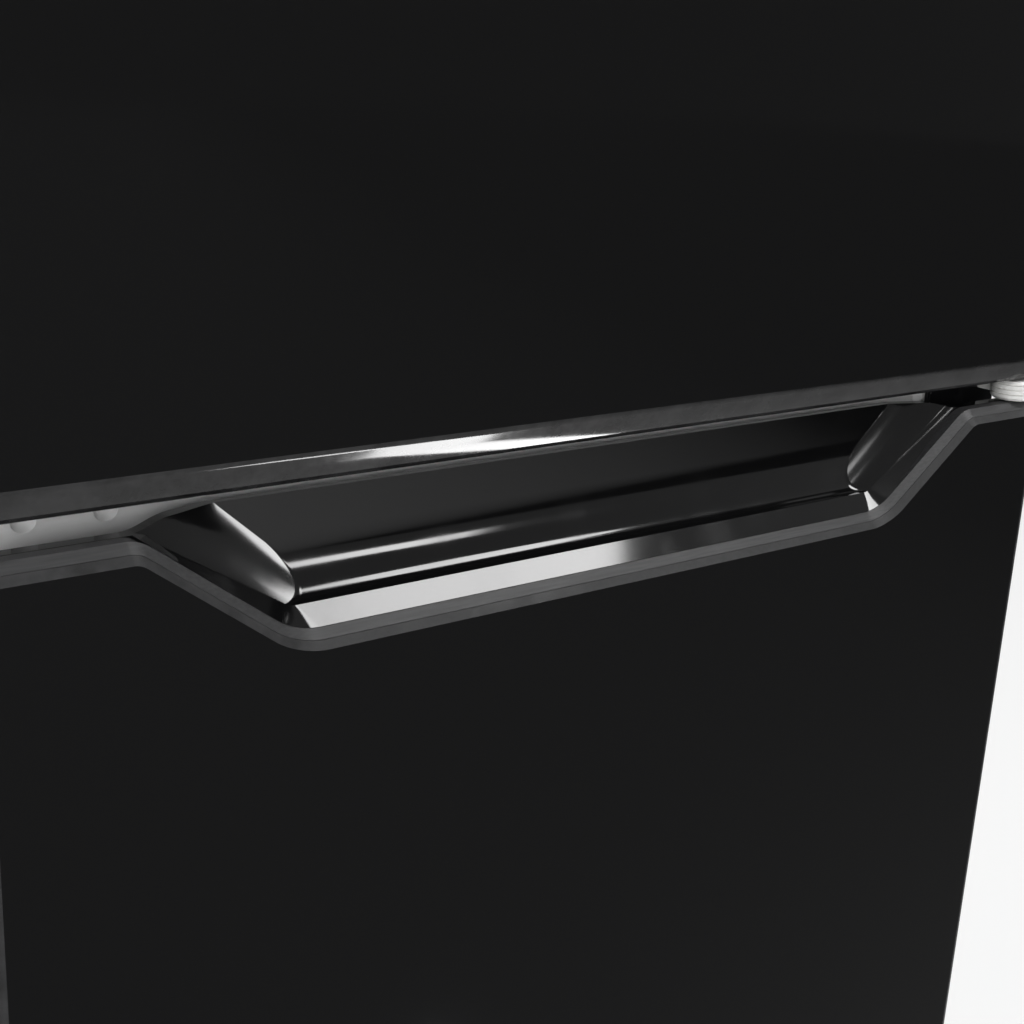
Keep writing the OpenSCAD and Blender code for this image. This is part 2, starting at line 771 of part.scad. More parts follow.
module bin() {
    top = bin_low + bin_h;
    color("lightgray") difference() {
        union() {
            bin_tub(0, 0, top);
            // rolled rim
            translate([0, 0, top - 8]) linear_extrude(8) bin_ring(2);
            // hoops pressed into the walls
            for (z = [bin_low + 150, bin_low + 300]) translate([0, 0, z]) linear_extrude(12)
                bin_ring(0.6 - bin_taper * (1 - (z - bin_low) / bin_h));
        }
        bin_tub(bin_t, bin_t, top + 1);
    }
}

module bin_ring(grow) {
    w = bin_w + 2 * (grow - bin_corner);
    l = bin_l + 2 * (grow - bin_corner);
    translate([-w / 2, bin_y - l / 2]) rounded_rectangle(w, l, bin_corner);
}

module bag_buttons() {
    top = bin_low + bin_h;
    color("black") for (s = [-1, 1]) for (y = [bin_y - 120, bin_y + 120])
        translate([s * (bin_w / 2 + 2.1), y, top - 4]) rotate([0, s * 90, 0]) {
            cylinder(r = 3, h = 1.6);
            translate([0, 0, 1.5]) cylinder(r = 4.5, h = 1.2);
        }
}

// --- ram ---
ram_half = 106;
ram_l = 372;
ram_low = 580;
crosshead_low = ram_low + 240;
crosshead_h = 22;
nut_r = 15;

module ram_plate() {
    rib_low = ram_low + 3.9;
    rib_high = ram_low + 24;
    half_l = ram_l / 2;
    color("silver") difference() {
        translate([0, bin_y, 0]) union() {
            rounded_block([-ram_half, -half_l, ram_low], [ram_half, half_l, ram_low + 4], 20);
            for (x = [-70, 0, 70]) block([x - 2, -half_l + 20, rib_low], [x + 2, half_l - 20, rib_high]);
            for (y = [-120, 0, 120])
                block([-ram_half + 12, y - 2, rib_low], [ram_half - 12, y + 2, rib_high]);
        }
        // shallow grooves that grip the load
        for (y = [-160:20:160])
            block([-ram_half + 24, bin_y + y - 1, ram_low - 1],
                  [ram_half - 24, bin_y + y + 1, ram_low + 0.8]);
    }
}

// Upright box in the ram's shape, shrunk by s
module ram_block(s, low, high, r) {
    rounded_block([-ram_half + s, bin_y - ram_l / 2 + s, low],
                  [ram_half - s, bin_y + ram_l / 2 - s, high], r);
}

module ram_box() {
    wall = 1.5;
    low = ram_low + 24.2;
    color("silver") difference() {
        union() {
            ram_block(6, low, crosshead_low - 0.1, 16);
            ram_block(1, low, low + 3, 19);
        }
        ram_block(6 + wall, low - 1, crosshead_low - 2, 14.5);
    }
}

module crosshead() {
    half_l = 34;
    half_w = screw_x + 20;
    low = crosshead_low;
    color("gray") difference() {
        union() {
            block([-half_w, screw_y - half_l, low], [half_w, screw_y + half_l, low + 5]);
            for (y = [screw_y - half_l, screw_y + half_l - 4])
                block([-half_w, y, low], [half_w, y + 4, low + crosshead_h]);
            block([-ram_half + 10, screw_y - 120, low], [ram_half - 10, screw_y + 120, low + 5]);
        }
        for (s = [-1, 1]) rod_z([s * screw_x, screw_y, crosshead_low - 1], nut_r, crosshead_h + 2);
        for (x = [-70, 0, 70]) rod_z([x, screw_y, crosshead_low - 1], 14, 8);
    }
}

nut_low = crosshead_low - 12;

module ram_nuts() {
    color("goldenrod") mirror_copy() difference() {
        union() {
            rod_z([screw_x, screw_y, nut_low], nut_r, 34);
            rod_z([screw_x, screw_y, nut_low], nut_r + 5, 11.9);
        }
        rod_z([screw_x, screw_y, nut_low - 1], screw_r + running_gap, 40);
    }
}

// --- drive ---
belt_z = 37;
groove_d = 4;
pulley_h = 13;
bearing_r = 16;

// Channel across the cabinet, open downwards, that carries a pair of screw bearings
module beam(z, h, half_l) {
    half_w = inner_half - 3.2;
    wall = 2.5;
    difference() {
        block([-half_w, screw_y - half_l, z], [half_w, screw_y + half_l, z + h]);
        block([-half_w + 3, screw_y - half_l + wall, z - 1],
              [half_w - 3, screw_y + half_l - wall, z + h - 3]);
        for (y = [screw_y - beam_screw_y, screw_y + beam_screw_y])
            rod_x([-shell_half, y, z + h / 2], screw_hole_r, 2 * shell_half);
        for (x = [-screw_x, screw_x]) rod_z([x, screw_y, z - 1], bearing_r, h + 2);
    }
}

module top_channel() {
    color("gray") beam(beam_z, beam_h, 36);
}

module lower_channel() {
    color("gray") beam(channel_z, channel_h, 34);
}

// Pair of flanged bushes that stand from z0 to z1, with their flanges at flange_z
module bearing_pair(z0, z1, flange_z) {
    for (x = [-screw_x, screw_x]) difference() {
        union() {
            rod_z([x, screw_y, z0], bearing_r, z1 - z0);
            rod_z([x, screw_y, flange_z], bearing_r + 4, 2.9);
        }
        rod_z([x, screw_y, z0 - 1], screw_r + running_gap, z1 - z0 + 2);
    }
}

module screw_bearings() {
    color("goldenrod") {
        bearing_pair(channel_z + 5, channel_z + channel_h + 3, channel_z + channel_h + 0.1);
        bearing_pair(beam_z - 3, beam_z + 17, beam_z - 3);
    }
}

// Power screw, with the collar that stops its nut at the bottom of the travel
module power_screw(s) {
    low = belt_z - 2;
    high = beam_z + 15;
    translate([s * screw_x, screw_y, 0]) difference() {
        union() {
            rod_z([0, 0, low], screw_r, high - low);
            rod_z([0, 0, nut_low - ram_travel - 10], screw_r + 4, 8);
        }
        // centre holes in the ends
        for (z = [low - eps, high - 3]) rod_z([0, 0, z], 2.5, 3 + 2 * eps);
    }
}

module left_power_screw() {
    color("silver") power_screw(-1);
}

module right_power_screw() {
    color("silver") power_screw(1);
}

// V-grooved pulley with a bore, its groove level with the belt
module grooved_pulley(x, y, r, bore_r) {
    core = r - groove_d;
    h = pulley_h;
    translate([x, y, belt_z - 2]) difference() {
        rotate_extrude() polygon([[bore_r - 0.5, 0], [r, 0], [r, 1.5], [core, 4], [core, h - 4], [r, h - 1.5],
                                  [r, h], [bore_r - 0.5, h]]);
        rod_z([0, 0, -1], bore_r, h + 2);
        for (a = [0:72:359]) rotate(a) rod_z([(core + bore_r) / 2, 0, -1], (core - bore_r) * 0.28, h + 2);
    }
}

module left_pulley() {
    color("dimgray") grooved_pulley(-screw_x, screw_y, pulley_r, screw_r + 0.02);
}

module right_pulley() {
    color("dimgray") grooved_pulley(screw_x, screw_y, pulley_r, screw_r + 0.02);
}

motor_shaft_r = 6;
motor_z = 62;              // underside of the gearbox
motor_x = 14;              // the motor stands beside its gearbox's output shaft

module motor_pulley() {
    color("dimgray") {
        grooved_pulley(0, motor_y, motor_pulley_r, motor_shaft_r);
        rod_z([0, motor_y, belt_z - 1.5], motor_shaft_r, 44);
    }
}

// Outline round the three pulleys at their groove depth plus g
module belt_loop(g) {
    hull() {
        for (x = [-screw_x, screw_x]) translate([x, screw_y]) circle(r = pulley_r - groove_d + g, $fn = 40);
        translate([0, motor_y]) circle(r = motor_pulley_r - groove_d + g, $fn = 40);
    }
}

module drive_belt() {
    color("black") translate([0, 0, belt_z + 2.6]) linear_extrude(3.8) difference() {
        belt_loop(3.6);
        belt_loop(0.4);
    }
}

module gear_motor() {
    color("gray") {
        difference() {
            union() {
                rounded_block([-48, motor_y - 40, motor_z], [48, motor_y + 40, motor_z + 34], 12);
                rod_z([motor_x, motor_y, motor_z + 33.9], 36, 74);
                rod_z([motor_x, motor_y, motor_z + 107], 33, 10);
            }
            rod_z([0, motor_y, motor_z - 1], motor_shaft_r + running_gap, 26);
        }
        // cooling fins round the motor
        for (a = [0:20:340])
            translate([motor_x, motor_y, motor_z + 42]) rotate(a) block([30, -1, 0], [38, 1, 58]);
    }
}

module motor_bracket() {
    low = base_z + sheet_t + 0.1;
    y0 = motor_y - 44;
    y1 = motor_y + 44;
    color("silver") difference() {
        union() {
            block([-90, y0, motor_z - 4], [90, y1, motor_z - 0.1]);
            mirror_copy() {
                block([87, y0, low], [90, y1, motor_z - 3]);
                block([87, y0, low], [108, y1, low + 2.4]);
            }
        }
        rod_z([0, motor_y, motor_z - 6], 13, 8);
        // slots that let the belt be tightened
        for (x = [-70, 70]) for (y = [motor_y - 37, motor_y + 23])
            rounded_block([x - 3, y, motor_z - 6], [x + 3, y + 14, motor_z + 1], 2.9);
    }
}

// --- white guide bush over the drawer front's right end ---
bush_r = 6.6;

module drawer_guide_bush() {
    x = 182;
    y = front_y + frame_d + 0.8 + bush_r;
    z = shoulder_z + bevel + 0.5;
    color("white") {
        translate([x, y, z]) rotate_extrude()
            polygon([[0, 0], [bush_r - 1, 0], [bush_r, 1], [bush_r, 4],
                     [bush_r - 0.6, 4.6], [bush_r - 0.6, 7],
                     [bush_r, 7.6], [bush_r, 12], [bush_r - 3, 14], [0, 14]]);
        block([x - 3, y, z + 11], [x + 3, front_y + rail_d - 0.1, z + 14]);
    }
}

// --- odour filter ---
filter_y0 = 208;
filter_half = 64;

module filter_housing() {
    half = filter_half;
    low = vent_z - half;
    wall = 2.5;
    color("dimgray") difference() {
        rounded_box_y([-half, filter_y0, low], [half, inner_back - 0.2, low + 2 * half], 10);
        rounded_box_y([-half + wall, filter_y0 + wall, low + wall],
                      [half - wall, back_y, low + 2 * half - wall], 8);
        // grille towards the bin
        for (i = [-4:4])
            block([-50, filter_y0 - 1, vent_z - 2 + i * 11], [50, filter_y0 + 4, vent_z + 2 + i * 11]);
    }
}

module charcoal_filter() {
    half = filter_half - 4;
    color("black") difference() {
        rounded_box_y([-half, filter_y0 + 4, vent_z - half], [half, filter_y0 + 24, vent_z + half], 8);
        // pleats
        for (x = [-52:13:52])
            block([x - 4, filter_y0 + 20, vent_z - 50], [x + 4, filter_y0 + 25, vent_z + 50]);
    }
}

fan_y = filter_y0 + 36;
fan_r = 50;
fan_shaft_r = 3;

module fan_impeller() {
    color("dimgray") translate([0, fan_y, vent_z]) rotate([-90, 0, 0]) {
        difference() {
            union() {
                cylinder(r = 14, h = 20);
                cylinder(r = fan_r, h = 1.5);
                for (a = [0:30:330]) rotate(a) translate([12, -1, 1]) rotate(14) cube([fan_r - 16, 2, 18]);
            }
            rod_z([0, 0, 8], fan_shaft_r + running_gap, 20);
        }
    }
}

module fan_motor() {
    color("silver") {
        translate([0, fan_y + 24, vent_z]) rotate([-90, 0, 0]) {
            cylinder(r = 26, h = 26);
            // arms that hold it in the housing
            for (a = [0:90:270]) rotate(a) block([20, -4, 20], [filter_half - 2.6, 4, 23]);
        }
        rod_y([0, fan_y + 10, vent_z], fan_shaft_r, 15);
    }
}

// --- switch that knows when the drawer is shut: a magnet on the cradle, a reed switch on a post ---
switch_x = -74;
magnet_t = 4;

module switch_magnet() {
    color("dimgray")
        block([switch_x - 8, cradle_rear + 0.1, cradle_z + 6],
              [switch_x + 8, cradle_rear + magnet_t, cradle_z + 18]);
}

module drawer_switch() {
    y = cradle_rear + magnet_t + 1.5;
    color("black") {
        block([switch_x - 10, y + 9, base_z + sheet_t + 0.1], [switch_x + 10, y + 11, cradle_z + 22]);
        block([switch_x - 10, y, cradle_z + 4], [switch_x + 10, y + 9.1, cradle_z + 20]);
    }
}

module power_gland() {
    low = back_y - 14;
    color("black") difference() {
        union() {
            rod_y([gland_x, low, gland_z], gland_r - running_gap, back_y - low);
            rod_y([gland_x, low, gland_z], gland_r + 4, inner_back - 0.1 - low);
        }
        rod_y([gland_x, low - 1, gland_z], cable_r, 20);
    }
}

module cabinet_screws() {
    color("silver") {
        mirror_copy() {
            for (y = [screw_y - beam_screw_y, screw_y + beam_screw_y]) for (z = beam_screw_zs)
                screw([shell_half + 0.02, y, z], [0, 90, 0]);
            for (z = back_screw_zs)
                screw([shell_half - 9, back_face + 0.02, z], [-90, 0, 0], head_h = back_y - back_face - 0.02);
        }
    }
}

// --- levelling legs ---
// Threaded leg with a swivel pad and a hexagonal collar for the spanner
module leg(x, y) {
    top = base_z + 15 + leg_travel;
    color("dimgray") translate([x, y, 0]) {
        rotate_extrude() polygon([[0, 0], [pad_r - 1, 0], [pad_r, 1], [pad_r, 3], [8, 6], [leg_r, 6],
                                  [leg_r, top], [0, top]]);
        translate([0, 0, 9]) cylinder(r = 8.5, h = 6, $fn = 6);
    }
}

module front_left_leg() {
    leg(-foot_x, foot_front_y);
}

module front_right_leg() {
    leg(foot_x, foot_front_y);
}

module rear_left_leg() {
    leg(-foot_x, foot_rear_y);
}

module rear_right_leg() {
    leg(foot_x, foot_rear_y);
}

base_pan();
left_side_panel();
right_side_panel();
back_panel();
top_panel();
toe_kick();
front_cross_rail();
lower_cross_rail();
console_glass();
console_frame();
control_housing();
control_board();
key_switch_body();
top_channel();
screw_bearings();
lower_channel();
drive_belt();
gear_motor();
motor_bracket();
cabinet_tracks();
track_brackets();
front_axles();
drawer_guide_bush();
filter_housing();
charcoal_filter();
fan_motor();
drawer_switch();
power_gland();
cabinet_screws();
drawer_glass();
drawer_frame();
handle_pocket();
drawer_pan();
drawer_cradle();
drawer_rails();
rear_axles();
bin();
bag_buttons();
switch_magnet();
ram_plate();
ram_box();
crosshead();
ram_nuts();
left_power_screw();
right_power_screw();
left_pulley();
right_pulley();
motor_pulley();
front_rollers();
rear_rollers();
fan_impeller();
start_button();
stop_button();
extra_pack_button();
key_knob();
front_left_leg();
front_right_leg();
rear_left_leg();
rear_right_leg();
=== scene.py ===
"""Looks of a built-in trash compactor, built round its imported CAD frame.

Everything is in metres, in the frame's axes: +Z up, the front towards -Y.
"""

import json
import logging
import math
from dataclasses import dataclass, field
from enum import Enum
from typing import Any, Callable, Optional, Sequence, Union

import bpy
from mathutils import Matrix, Vector

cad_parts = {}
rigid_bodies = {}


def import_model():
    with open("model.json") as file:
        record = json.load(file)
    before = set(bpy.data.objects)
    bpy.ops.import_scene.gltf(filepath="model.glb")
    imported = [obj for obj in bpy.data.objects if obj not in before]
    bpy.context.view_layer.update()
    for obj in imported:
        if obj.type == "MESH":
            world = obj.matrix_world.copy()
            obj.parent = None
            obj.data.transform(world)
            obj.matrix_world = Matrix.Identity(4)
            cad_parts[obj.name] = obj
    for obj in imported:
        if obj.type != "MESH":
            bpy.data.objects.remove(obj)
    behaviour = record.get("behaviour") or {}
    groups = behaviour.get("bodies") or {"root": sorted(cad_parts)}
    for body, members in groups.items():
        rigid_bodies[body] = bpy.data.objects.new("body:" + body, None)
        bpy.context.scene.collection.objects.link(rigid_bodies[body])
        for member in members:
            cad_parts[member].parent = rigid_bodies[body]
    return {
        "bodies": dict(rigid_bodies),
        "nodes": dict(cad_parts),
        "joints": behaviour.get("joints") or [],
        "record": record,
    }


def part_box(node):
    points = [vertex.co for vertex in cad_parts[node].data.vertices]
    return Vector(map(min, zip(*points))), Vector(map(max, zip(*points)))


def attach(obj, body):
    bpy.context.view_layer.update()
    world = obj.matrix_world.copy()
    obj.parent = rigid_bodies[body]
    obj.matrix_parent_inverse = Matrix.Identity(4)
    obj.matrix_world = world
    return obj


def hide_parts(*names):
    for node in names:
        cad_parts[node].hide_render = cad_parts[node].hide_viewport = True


LOG = logging.getLogger("compactor")
MM = 0.001
WELD = 1e-6

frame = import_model()
NODES: dict[str, bpy.types.Object] = frame["nodes"]
BODY_OF: dict[str, str] = {
    node: body for body, nodes in frame["record"]["behaviour"]["bodies"].items() for node in nodes
}
SLOT_OF: dict[str, str] = {s["node"]: s["material_slot"] for s in frame["record"]["subparts"]}
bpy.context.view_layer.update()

Colour = tuple[float, float, float]
Number = Union[int, float]
Values = Union["Wire", Number]
Profile = Sequence[tuple[float, float]]


# --------------------------------------------------------------------------- shader building


class Wire:
    """A shader socket that can stand in a sum as a number does."""

    def __init__(self, shader: "Shader", socket: bpy.types.NodeSocket) -> None:
        """Wraps a socket.

        Args:
            shader: The shader whose tree the socket is in.
            socket: The output socket to wrap.
        """
        self.shader = shader
        self.socket = socket

    def maths(self, operation: str, *values: Values) -> "Wire":
        """Adds a Math node.

        Args:
            operation: The Math node's operation.
            values: Its inputs, in order.

        Returns:
            The node's result.
        """
        return self.shader.node("ShaderNodeMath", {"operation": operation}, dict(enumerate(values)))

    def __add__(self, other: Values) -> "Wire":
        """Sum."""
        return self.maths("ADD", self, other)

    __radd__ = __add__

    def __mul__(self, other: Values) -> "Wire":
        """Product."""
        return self.maths("MULTIPLY", self, other)

    __rmul__ = __mul__

    def __sub__(self, other: Values) -> "Wire":
        """Difference."""
        return self.maths("SUBTRACT", self, other)

    def __rsub__(self, other: Values) -> "Wire":
        """Difference from a number."""
        return self.maths("SUBTRACT", other, self)

    def clamped(self) -> "Wire":
        """The value held between 0 and 1."""
        return self.maths("MINIMUM", self.maths("MAXIMUM", self, 0.0), 1.0)


class Shader:
    """A material's node tree with one Principled BSDF at its end."""

    def __init__(self, name: str) -> None:
        """Makes an empty material.

        Args:
            name: The material's name.
        """
        self.material = bpy.data.materials.new(name)
        self.material.use_nodes = True
        self.tree = self.material.node_tree
        self.surface = self.tree.nodes["Principled BSDF"]

    def node(
        self,
        kind: str,
        settings: Optional[dict[str, Any]] = None,
        inputs: Optional[dict[Union[str, int], Any]] = None,
        output: Union[str, int] = 0,
    ) -> Wire:
        """Adds one node.

        Args:
            kind: The node's type.
            settings: Its properties, set first; "stops" fills a colour ramp.
            inputs: Values or wires for its sockets.
            output: Which output to return.

        Returns:
            The chosen output.
        """
        made = self.tree.nodes.new(kind)
        for key, value in (settings or {}).items():
            if key == "stops":
                self._fill_ramp(made, value)
            else:
                setattr(made, key, value)
        for key, value in (inputs or {}).items():
            self.feed(made.inputs[key], value)
        return Wire(self, made.outputs[output])

    @staticmethod
    def _fill_ramp(made: bpy.types.Node, stops: Sequence[tuple[float, float]]) -> None:
        """Sets a ramp's grey stops.

        Args:
            made: The ramp's node.
            stops: (place, grey) of each stop.
        """
        ramp = made.color_ramp
        while len(ramp.elements) < len(stops):
            ramp.elements.new(0.5)
        for element, (place, grey) in zip(ramp.elements, stops):
            element.position = place
            element.color = (grey, grey, grey, 1.0)

    def feed(self, socket: bpy.types.NodeSocket, value: Any) -> None:
        """Links a wire to a socket, or sets its value.

        Args:
            socket: The input socket.
            value: A wire, a number, a vector or a colour, whose alpha may be left out.
        """
        if isinstance(value, Wire):
            self.tree.links.new(value.socket, socket)
        elif socket.type == "RGBA" and len(value) == 3:
            socket.default_value = (*value, 1.0)
        else:
            socket.default_value = value

    def put(self, **values: Any) -> None:
        """Feeds the surface's sockets, named with underscores for spaces."""
        for key, value in values.items():
            self.feed(self.surface.inputs[key.replace("_", " ")], value)

    def place(
        self, stretch: Sequence[float] = (1, 1, 1), turn: Sequence[float] = (0, 0, 0)
    ) -> Wire:
        """Object coordinates, stretched and turned."""
        coordinates = self.node("ShaderNodeTexCoord", output="Object")
        inputs = {"Vector": coordinates, "Scale": stretch, "Rotation": turn}
        return self.node("ShaderNodeMapping", inputs=inputs)

    def noise(
        self,
        scale: float,
        stretch: Sequence[float] = (1, 1, 1),
        detail: float = 2.0,
        rough: float = 0.5,
        turn: Sequence[float] = (0, 0, 0),
    ) -> Wire:
        """Noise from 0 to 1, in cycles per metre.

        Args:
            scale: Cycles per metre.
            stretch: Factor on each axis.
            detail: Octaves.
            rough: Weight of the finer octaves.
            turn: Rotation of the pattern.

        Returns:
            The noise's factor.
        """
        place = self.place(stretch, turn)
        inputs = {"Vector": place, "Scale": scale, "Detail": detail, "Roughness": rough}
        return self.node("ShaderNodeTexNoise", inputs=inputs)

    def cells(
        self, scale: float, stretch: Sequence[float] = (1, 1, 1), output: str = "Distance"
    ) -> Wire:
        """Voronoi cells: the distance to their middles, or a colour for each."""
        inputs = {"Vector": self.place(stretch), "Scale": scale}
        return self.node("ShaderNodeTexVoronoi", inputs=inputs, output=output)

    def ramp(self, value: Wire, *stops: tuple[float, float]) -> Wire:
        """The value through a curve of (place, grey) stops."""
        return self.node("ShaderNodeValToRGB", {"stops": stops}, {"Fac": value})

    def blend(self, share: Wire, first: Any, second: Any) -> Wire:
        """Colour mix from first to second, by the colour sockets of a Mix node."""
        return self.node("ShaderNodeMix", {"data_type": "RGBA"}, {0: share, 6: first, 7: second}, 2)

    def vary(self, share: Wire, colour: Colour, darkest: float, lightest: float) -> Wire:
        """Mix between a darker and a lighter shade of one colour."""
        return self.blend(share, shade(colour, darkest), shade(colour, lightest))

    def bump(self, height: Wire, depth: float, strength: float = 1.0) -> Wire:
        """Normal bumped by a height of up to depth metres."""
        inputs = {"Height": height, "Distance": depth, "Strength": strength}
        return self.node("ShaderNodeBump", inputs=inputs)


def shade(colour: Colour, factor: float) -> Colour:
    """A colour made darker or lighter."""
    return (colour[0] * factor, colour[1] * factor, colour[2] * factor)


# --------------------------------------------------------------------------- finishes


@dataclass(frozen=True)
class Finish:
    """A finish with plain values; its kinds add their own detail."""

    name: str
    colour: Colour
    roughness: float = 0.5
    metallic: float = 0.0
    specular: float = 0.5
    coat: float = 0.0

    def material(self) -> bpy.types.Material:
        """Builds the material, once.

        Returns:
            The material.
        """
        title = "look_" + self.name
        found = bpy.data.materials.get(title)
        if found:
            return found
        shader = Shader(title)
        shader.put(
            Base_Color=self.colour,
            Roughness=self.roughness,
            Metallic=self.metallic,
            Specular_IOR_Level=self.specular,
            Coat_Weight=self.coat,
        )
        self.detail(shader)
        return shader.material

    def detail(self, shader: Shader) -> None:
        """Adds what varies over the surface."""


@dataclass(frozen=True)
class Glass(Finish):
    """Opaque tempered glass with a trace of dust and wiping marks."""

    def detail(self, shader: Shader) -> None:
        """Adds wiping marks to the gloss and a faint haze of dust.

        Args:
            shader: The material's shader.
        """
        wipes = shader.noise(9, (1, 1, 2.4), detail=4, turn=(0, 0.5, 0))
        dust = shader.noise(420, detail=3, rough=0.7)
        haze = shader.ramp(dust, (0.6, 0.0), (0.9, 0.012))
        shader.put(
            Roughness=self.roughness + 0.04 * shader.ramp(wipes, (0.42, 0.0), (0.72, 1.0)),
            Base_Color=shader.blend(haze, self.colour, (0.3, 0.3, 0.3)),
        )


class Grain(Enum):
    """The direction in which a metal is brushed, as its noise stretch."""

    ALONG_X = (0.03, 1.0, 1.0)
    ALONG_Z = (1.0, 1.0, 0.03)


@dataclass(frozen=True)
class Brushed(Finish):
    """Metal with fine parallel brush marks."""

    grain: Grain = Grain.ALONG_X
    marks: float = 0.12

    def detail(self, shader: Shader) -> None:
        """Varies colour, gloss and surface along the brush marks.

        Args:
            shader: The material's shader.
        """
        fine = shader.noise(2600, self.grain.value, detail=2)
        broad = shader.noise(260, self.grain.value, detail=3)
        tone = shader.ramp(fine * 0.6 + broad * 0.4, (0.3, 0.0), (0.7, 1.0))
        shader.put(
            Base_Color=shader.vary(tone, self.colour, 1 - self.marks, 1 + self.marks),
            Roughness=self.roughness + 0.1 * tone - 0.05,
            Normal=shader.bump(fine, 0.00001, 0.5),
        )


@dataclass(frozen=True)
class GroundEdge(Finish):
    """Ground and half-polished edge of glass, with smoky patches of painted reflection in its
    colour and a bloom left by the wheel in its gloss.
    """

    bloom: float = 0.2

    def detail(self, shader: Shader) -> None:
        """Lays smoky patches of painted reflection and fine cross marks over the edge.

        Args:
            shader: The material's shader.
        """
        # Smoky patches of painted reflection: the edge's colour goes darker and lighter with them.
        painted_reflection_smoke = shader.noise(75, (1, 1, 1.6), detail=5, rough=0.62)
        marks = shader.noise(900, (0.6, 1, 0.12), detail=2)
        tone = shader.ramp(0.75 * painted_reflection_smoke + 0.25 * marks, (0.36, 0.0), (0.62, 1.0))
        shader.put(
            # Painted reflection and real cross marks: the base colour runs from 0.45 to 1.35 of the
            # edge's colour with the smoky patches.
            Base_Color=shader.vary(tone, self.colour, 0.45, 1.35),
            Roughness=self.roughness + self.bloom * tone,
        )


@dataclass(frozen=True)
class CrossBrushed(Finish):
    """Anodised metal brushed two ways, so that it looks lightly woven."""

    marks: float = 0.12

    def detail(self, shader: Shader) -> None:
        """Lays two crossing sets of fine marks.

        Args:
            shader: The material's shader.
        """
        across = shader.noise(1500, (0.05, 1, 1), detail=1, turn=(0, 0.7, 0))
        along = shader.noise(1500, (0.05, 1, 1), detail=1, turn=(0, -0.7, 0))
        weave = shader.ramp(across * 0.5 + along * 0.5, (0.4, 0.0), (0.6, 1.0))
        cloud = shader.noise(30, detail=2)
        shader.put(
            Base_Color=shader.vary(weave, self.colour, 1 - self.marks, 1 + self.marks),
            Roughness=self.roughness + 0.06 * cloud,
            Normal=shader.bump(weave, 0.000008, 0.5),
        )


@dataclass(frozen=True)
class Painted(Finish):
    """Stoved paint with a slight orange peel, worn a little at random."""

    peel: float = 0.00002

    def detail(self, shader: Shader) -> None:
        """Adds orange peel, a soft cloud in the gloss and faint scuffs.

        Args:
            shader: The material's shader.
        """
        peel = shader.noise(900, detail=1)
        cloud = shader.noise(14, detail=3)
        worn = shader.noise(60, (1, 1, 0.2), detail=5, rough=0.7)
        scuff = shader.ramp(worn, (0.62, 0.0), (0.7, 0.35))
        bare = tuple(c + 0.02 for c in shade(self.colour, 1.3))
        shader.put(
            Base_Color=shader.blend(scuff, self.colour, bare),
            Roughness=self.roughness + 0.12 * cloud - 0.06,
            Normal=shader.bump(peel, self.peel, 0.6),
        )


@dataclass(frozen=True)
class Galvanised(Finish):
    """Zinc-coated sheet with a spangle."""

    def detail(self, shader: Shader) -> None:
        """Gives each spangle its own tone and gloss.

        Args:
            shader: The material's shader.
        """
        grey = shader.node("ShaderNodeSeparateColor", inputs={0: shader.cells(95, output="Color")})
        stain = shader.noise(11, detail=4, rough=0.6)
        tone = (0.7 * grey + 0.3 * stain).clamped()
        shader.put(
            Base_Color=shader.vary(tone, self.colour, 0.78, 1.14),
            Roughness=self.roughness + 0.16 * grey - 0.08,
        )


@dataclass(frozen=True)
class Moulded(Finish):
    """Plastic from a textured mould."""

    grain_depth: float = 0.00004
    grain_scale: float = 1400

    def detail(self, shader: Shader) -> None:
        """Adds the mould's grain and a slow drift in its colour.

        Args:
            shader: The material's shader.
        """
        grain = shader.cells(self.grain_scale)
        drift = shader.noise(7, detail=2)
        shader.put(
            Base_Color=shader.vary(drift, self.colour, 0.93, 1.07),
            Roughness=self.roughness + 0.08 * drift - 0.04,
            Normal=shader.bump(grain, self.grain_depth, 0.5),
        )


@dataclass(frozen=True)
class Polished(Finish):
    """Glossy moulding or metal whose reflections wander a little."""

    wander: float = 0.0002

    def detail(self, shader: Shader) -> None:
        """Adds slow waves in the surface and faint smears in the gloss.

        Args:
            shader: The material's shader.
        """
        waves = shader.noise(26, detail=1)
        smears = shader.noise(45, (1, 1, 0.4), detail=4)
        shader.put(
            Roughness=self.roughness + 0.08 * shader.ramp(smears, (0.45, 0.0), (0.75, 1.0)),
            Normal=shader.bump(waves, self.wander, 0.35),
        )


@dataclass(frozen=True)
class Cast(Finish):
    """Rough casting under its own skin or paint."""

    depth: float = 0.00015

    def detail(self, shader: Shader) -> None:
        """Adds the casting's pits and patchy gloss.

        Args:
            shader: The material's shader.
        """
        pits = shader.noise(520, detail=3, rough=0.6)
        patch = shader.noise(24, detail=3)
        shader.put(
            Base_Color=shader.vary(patch, self.colour, 0.8, 1.2),
            Roughness=self.roughness + 0.15 * patch - 0.07,
            Normal=shader.bump(pits, self.depth, 0.5),
        )


@dataclass(frozen=True)
class Fibrous(Finish):
    """Felt of short fibres."""

    def detail(self, shader: Shader) -> None:
        """Adds tangled fibres.

        Args:
            shader: The material's shader.
        """
        fibres = shader.noise(1800, (1, 1, 0.3), detail=4, rough=0.7)
        shader.put(
            Base_Color=shader.vary(fibres, self.colour, 0.5, 2.2),
            Normal=shader.bump(fibres, 0.0003, 0.8),
        )


@dataclass(frozen=True)
class Lacquer(Finish):
    """Circuit board lacquer over faint copper tracks."""

    def detail(self, shader: Shader) -> None:
        """Adds tracks as lighter lines."""
        tracks = shader.ramp(shader.cells(260, (1, 1, 0.15)), (0.06, 1.0), (0.12, 0.0))
        shader.put(Base_Color=shader.vary(tracks, self.colour, 1, 2.4))


# Both edge finishes carry smoky painted reflection in their colour, over real cross marks.
GROUND_EDGE = GroundEdge("ground_edge", (0.025, 0.025, 0.0258), 0.36, specular=0.12)
POLISHED_EDGE = GroundEdge(
    "polished_edge", (0.0145, 0.0145, 0.0149), 0.06, specular=0.2, bloom=0.04
)

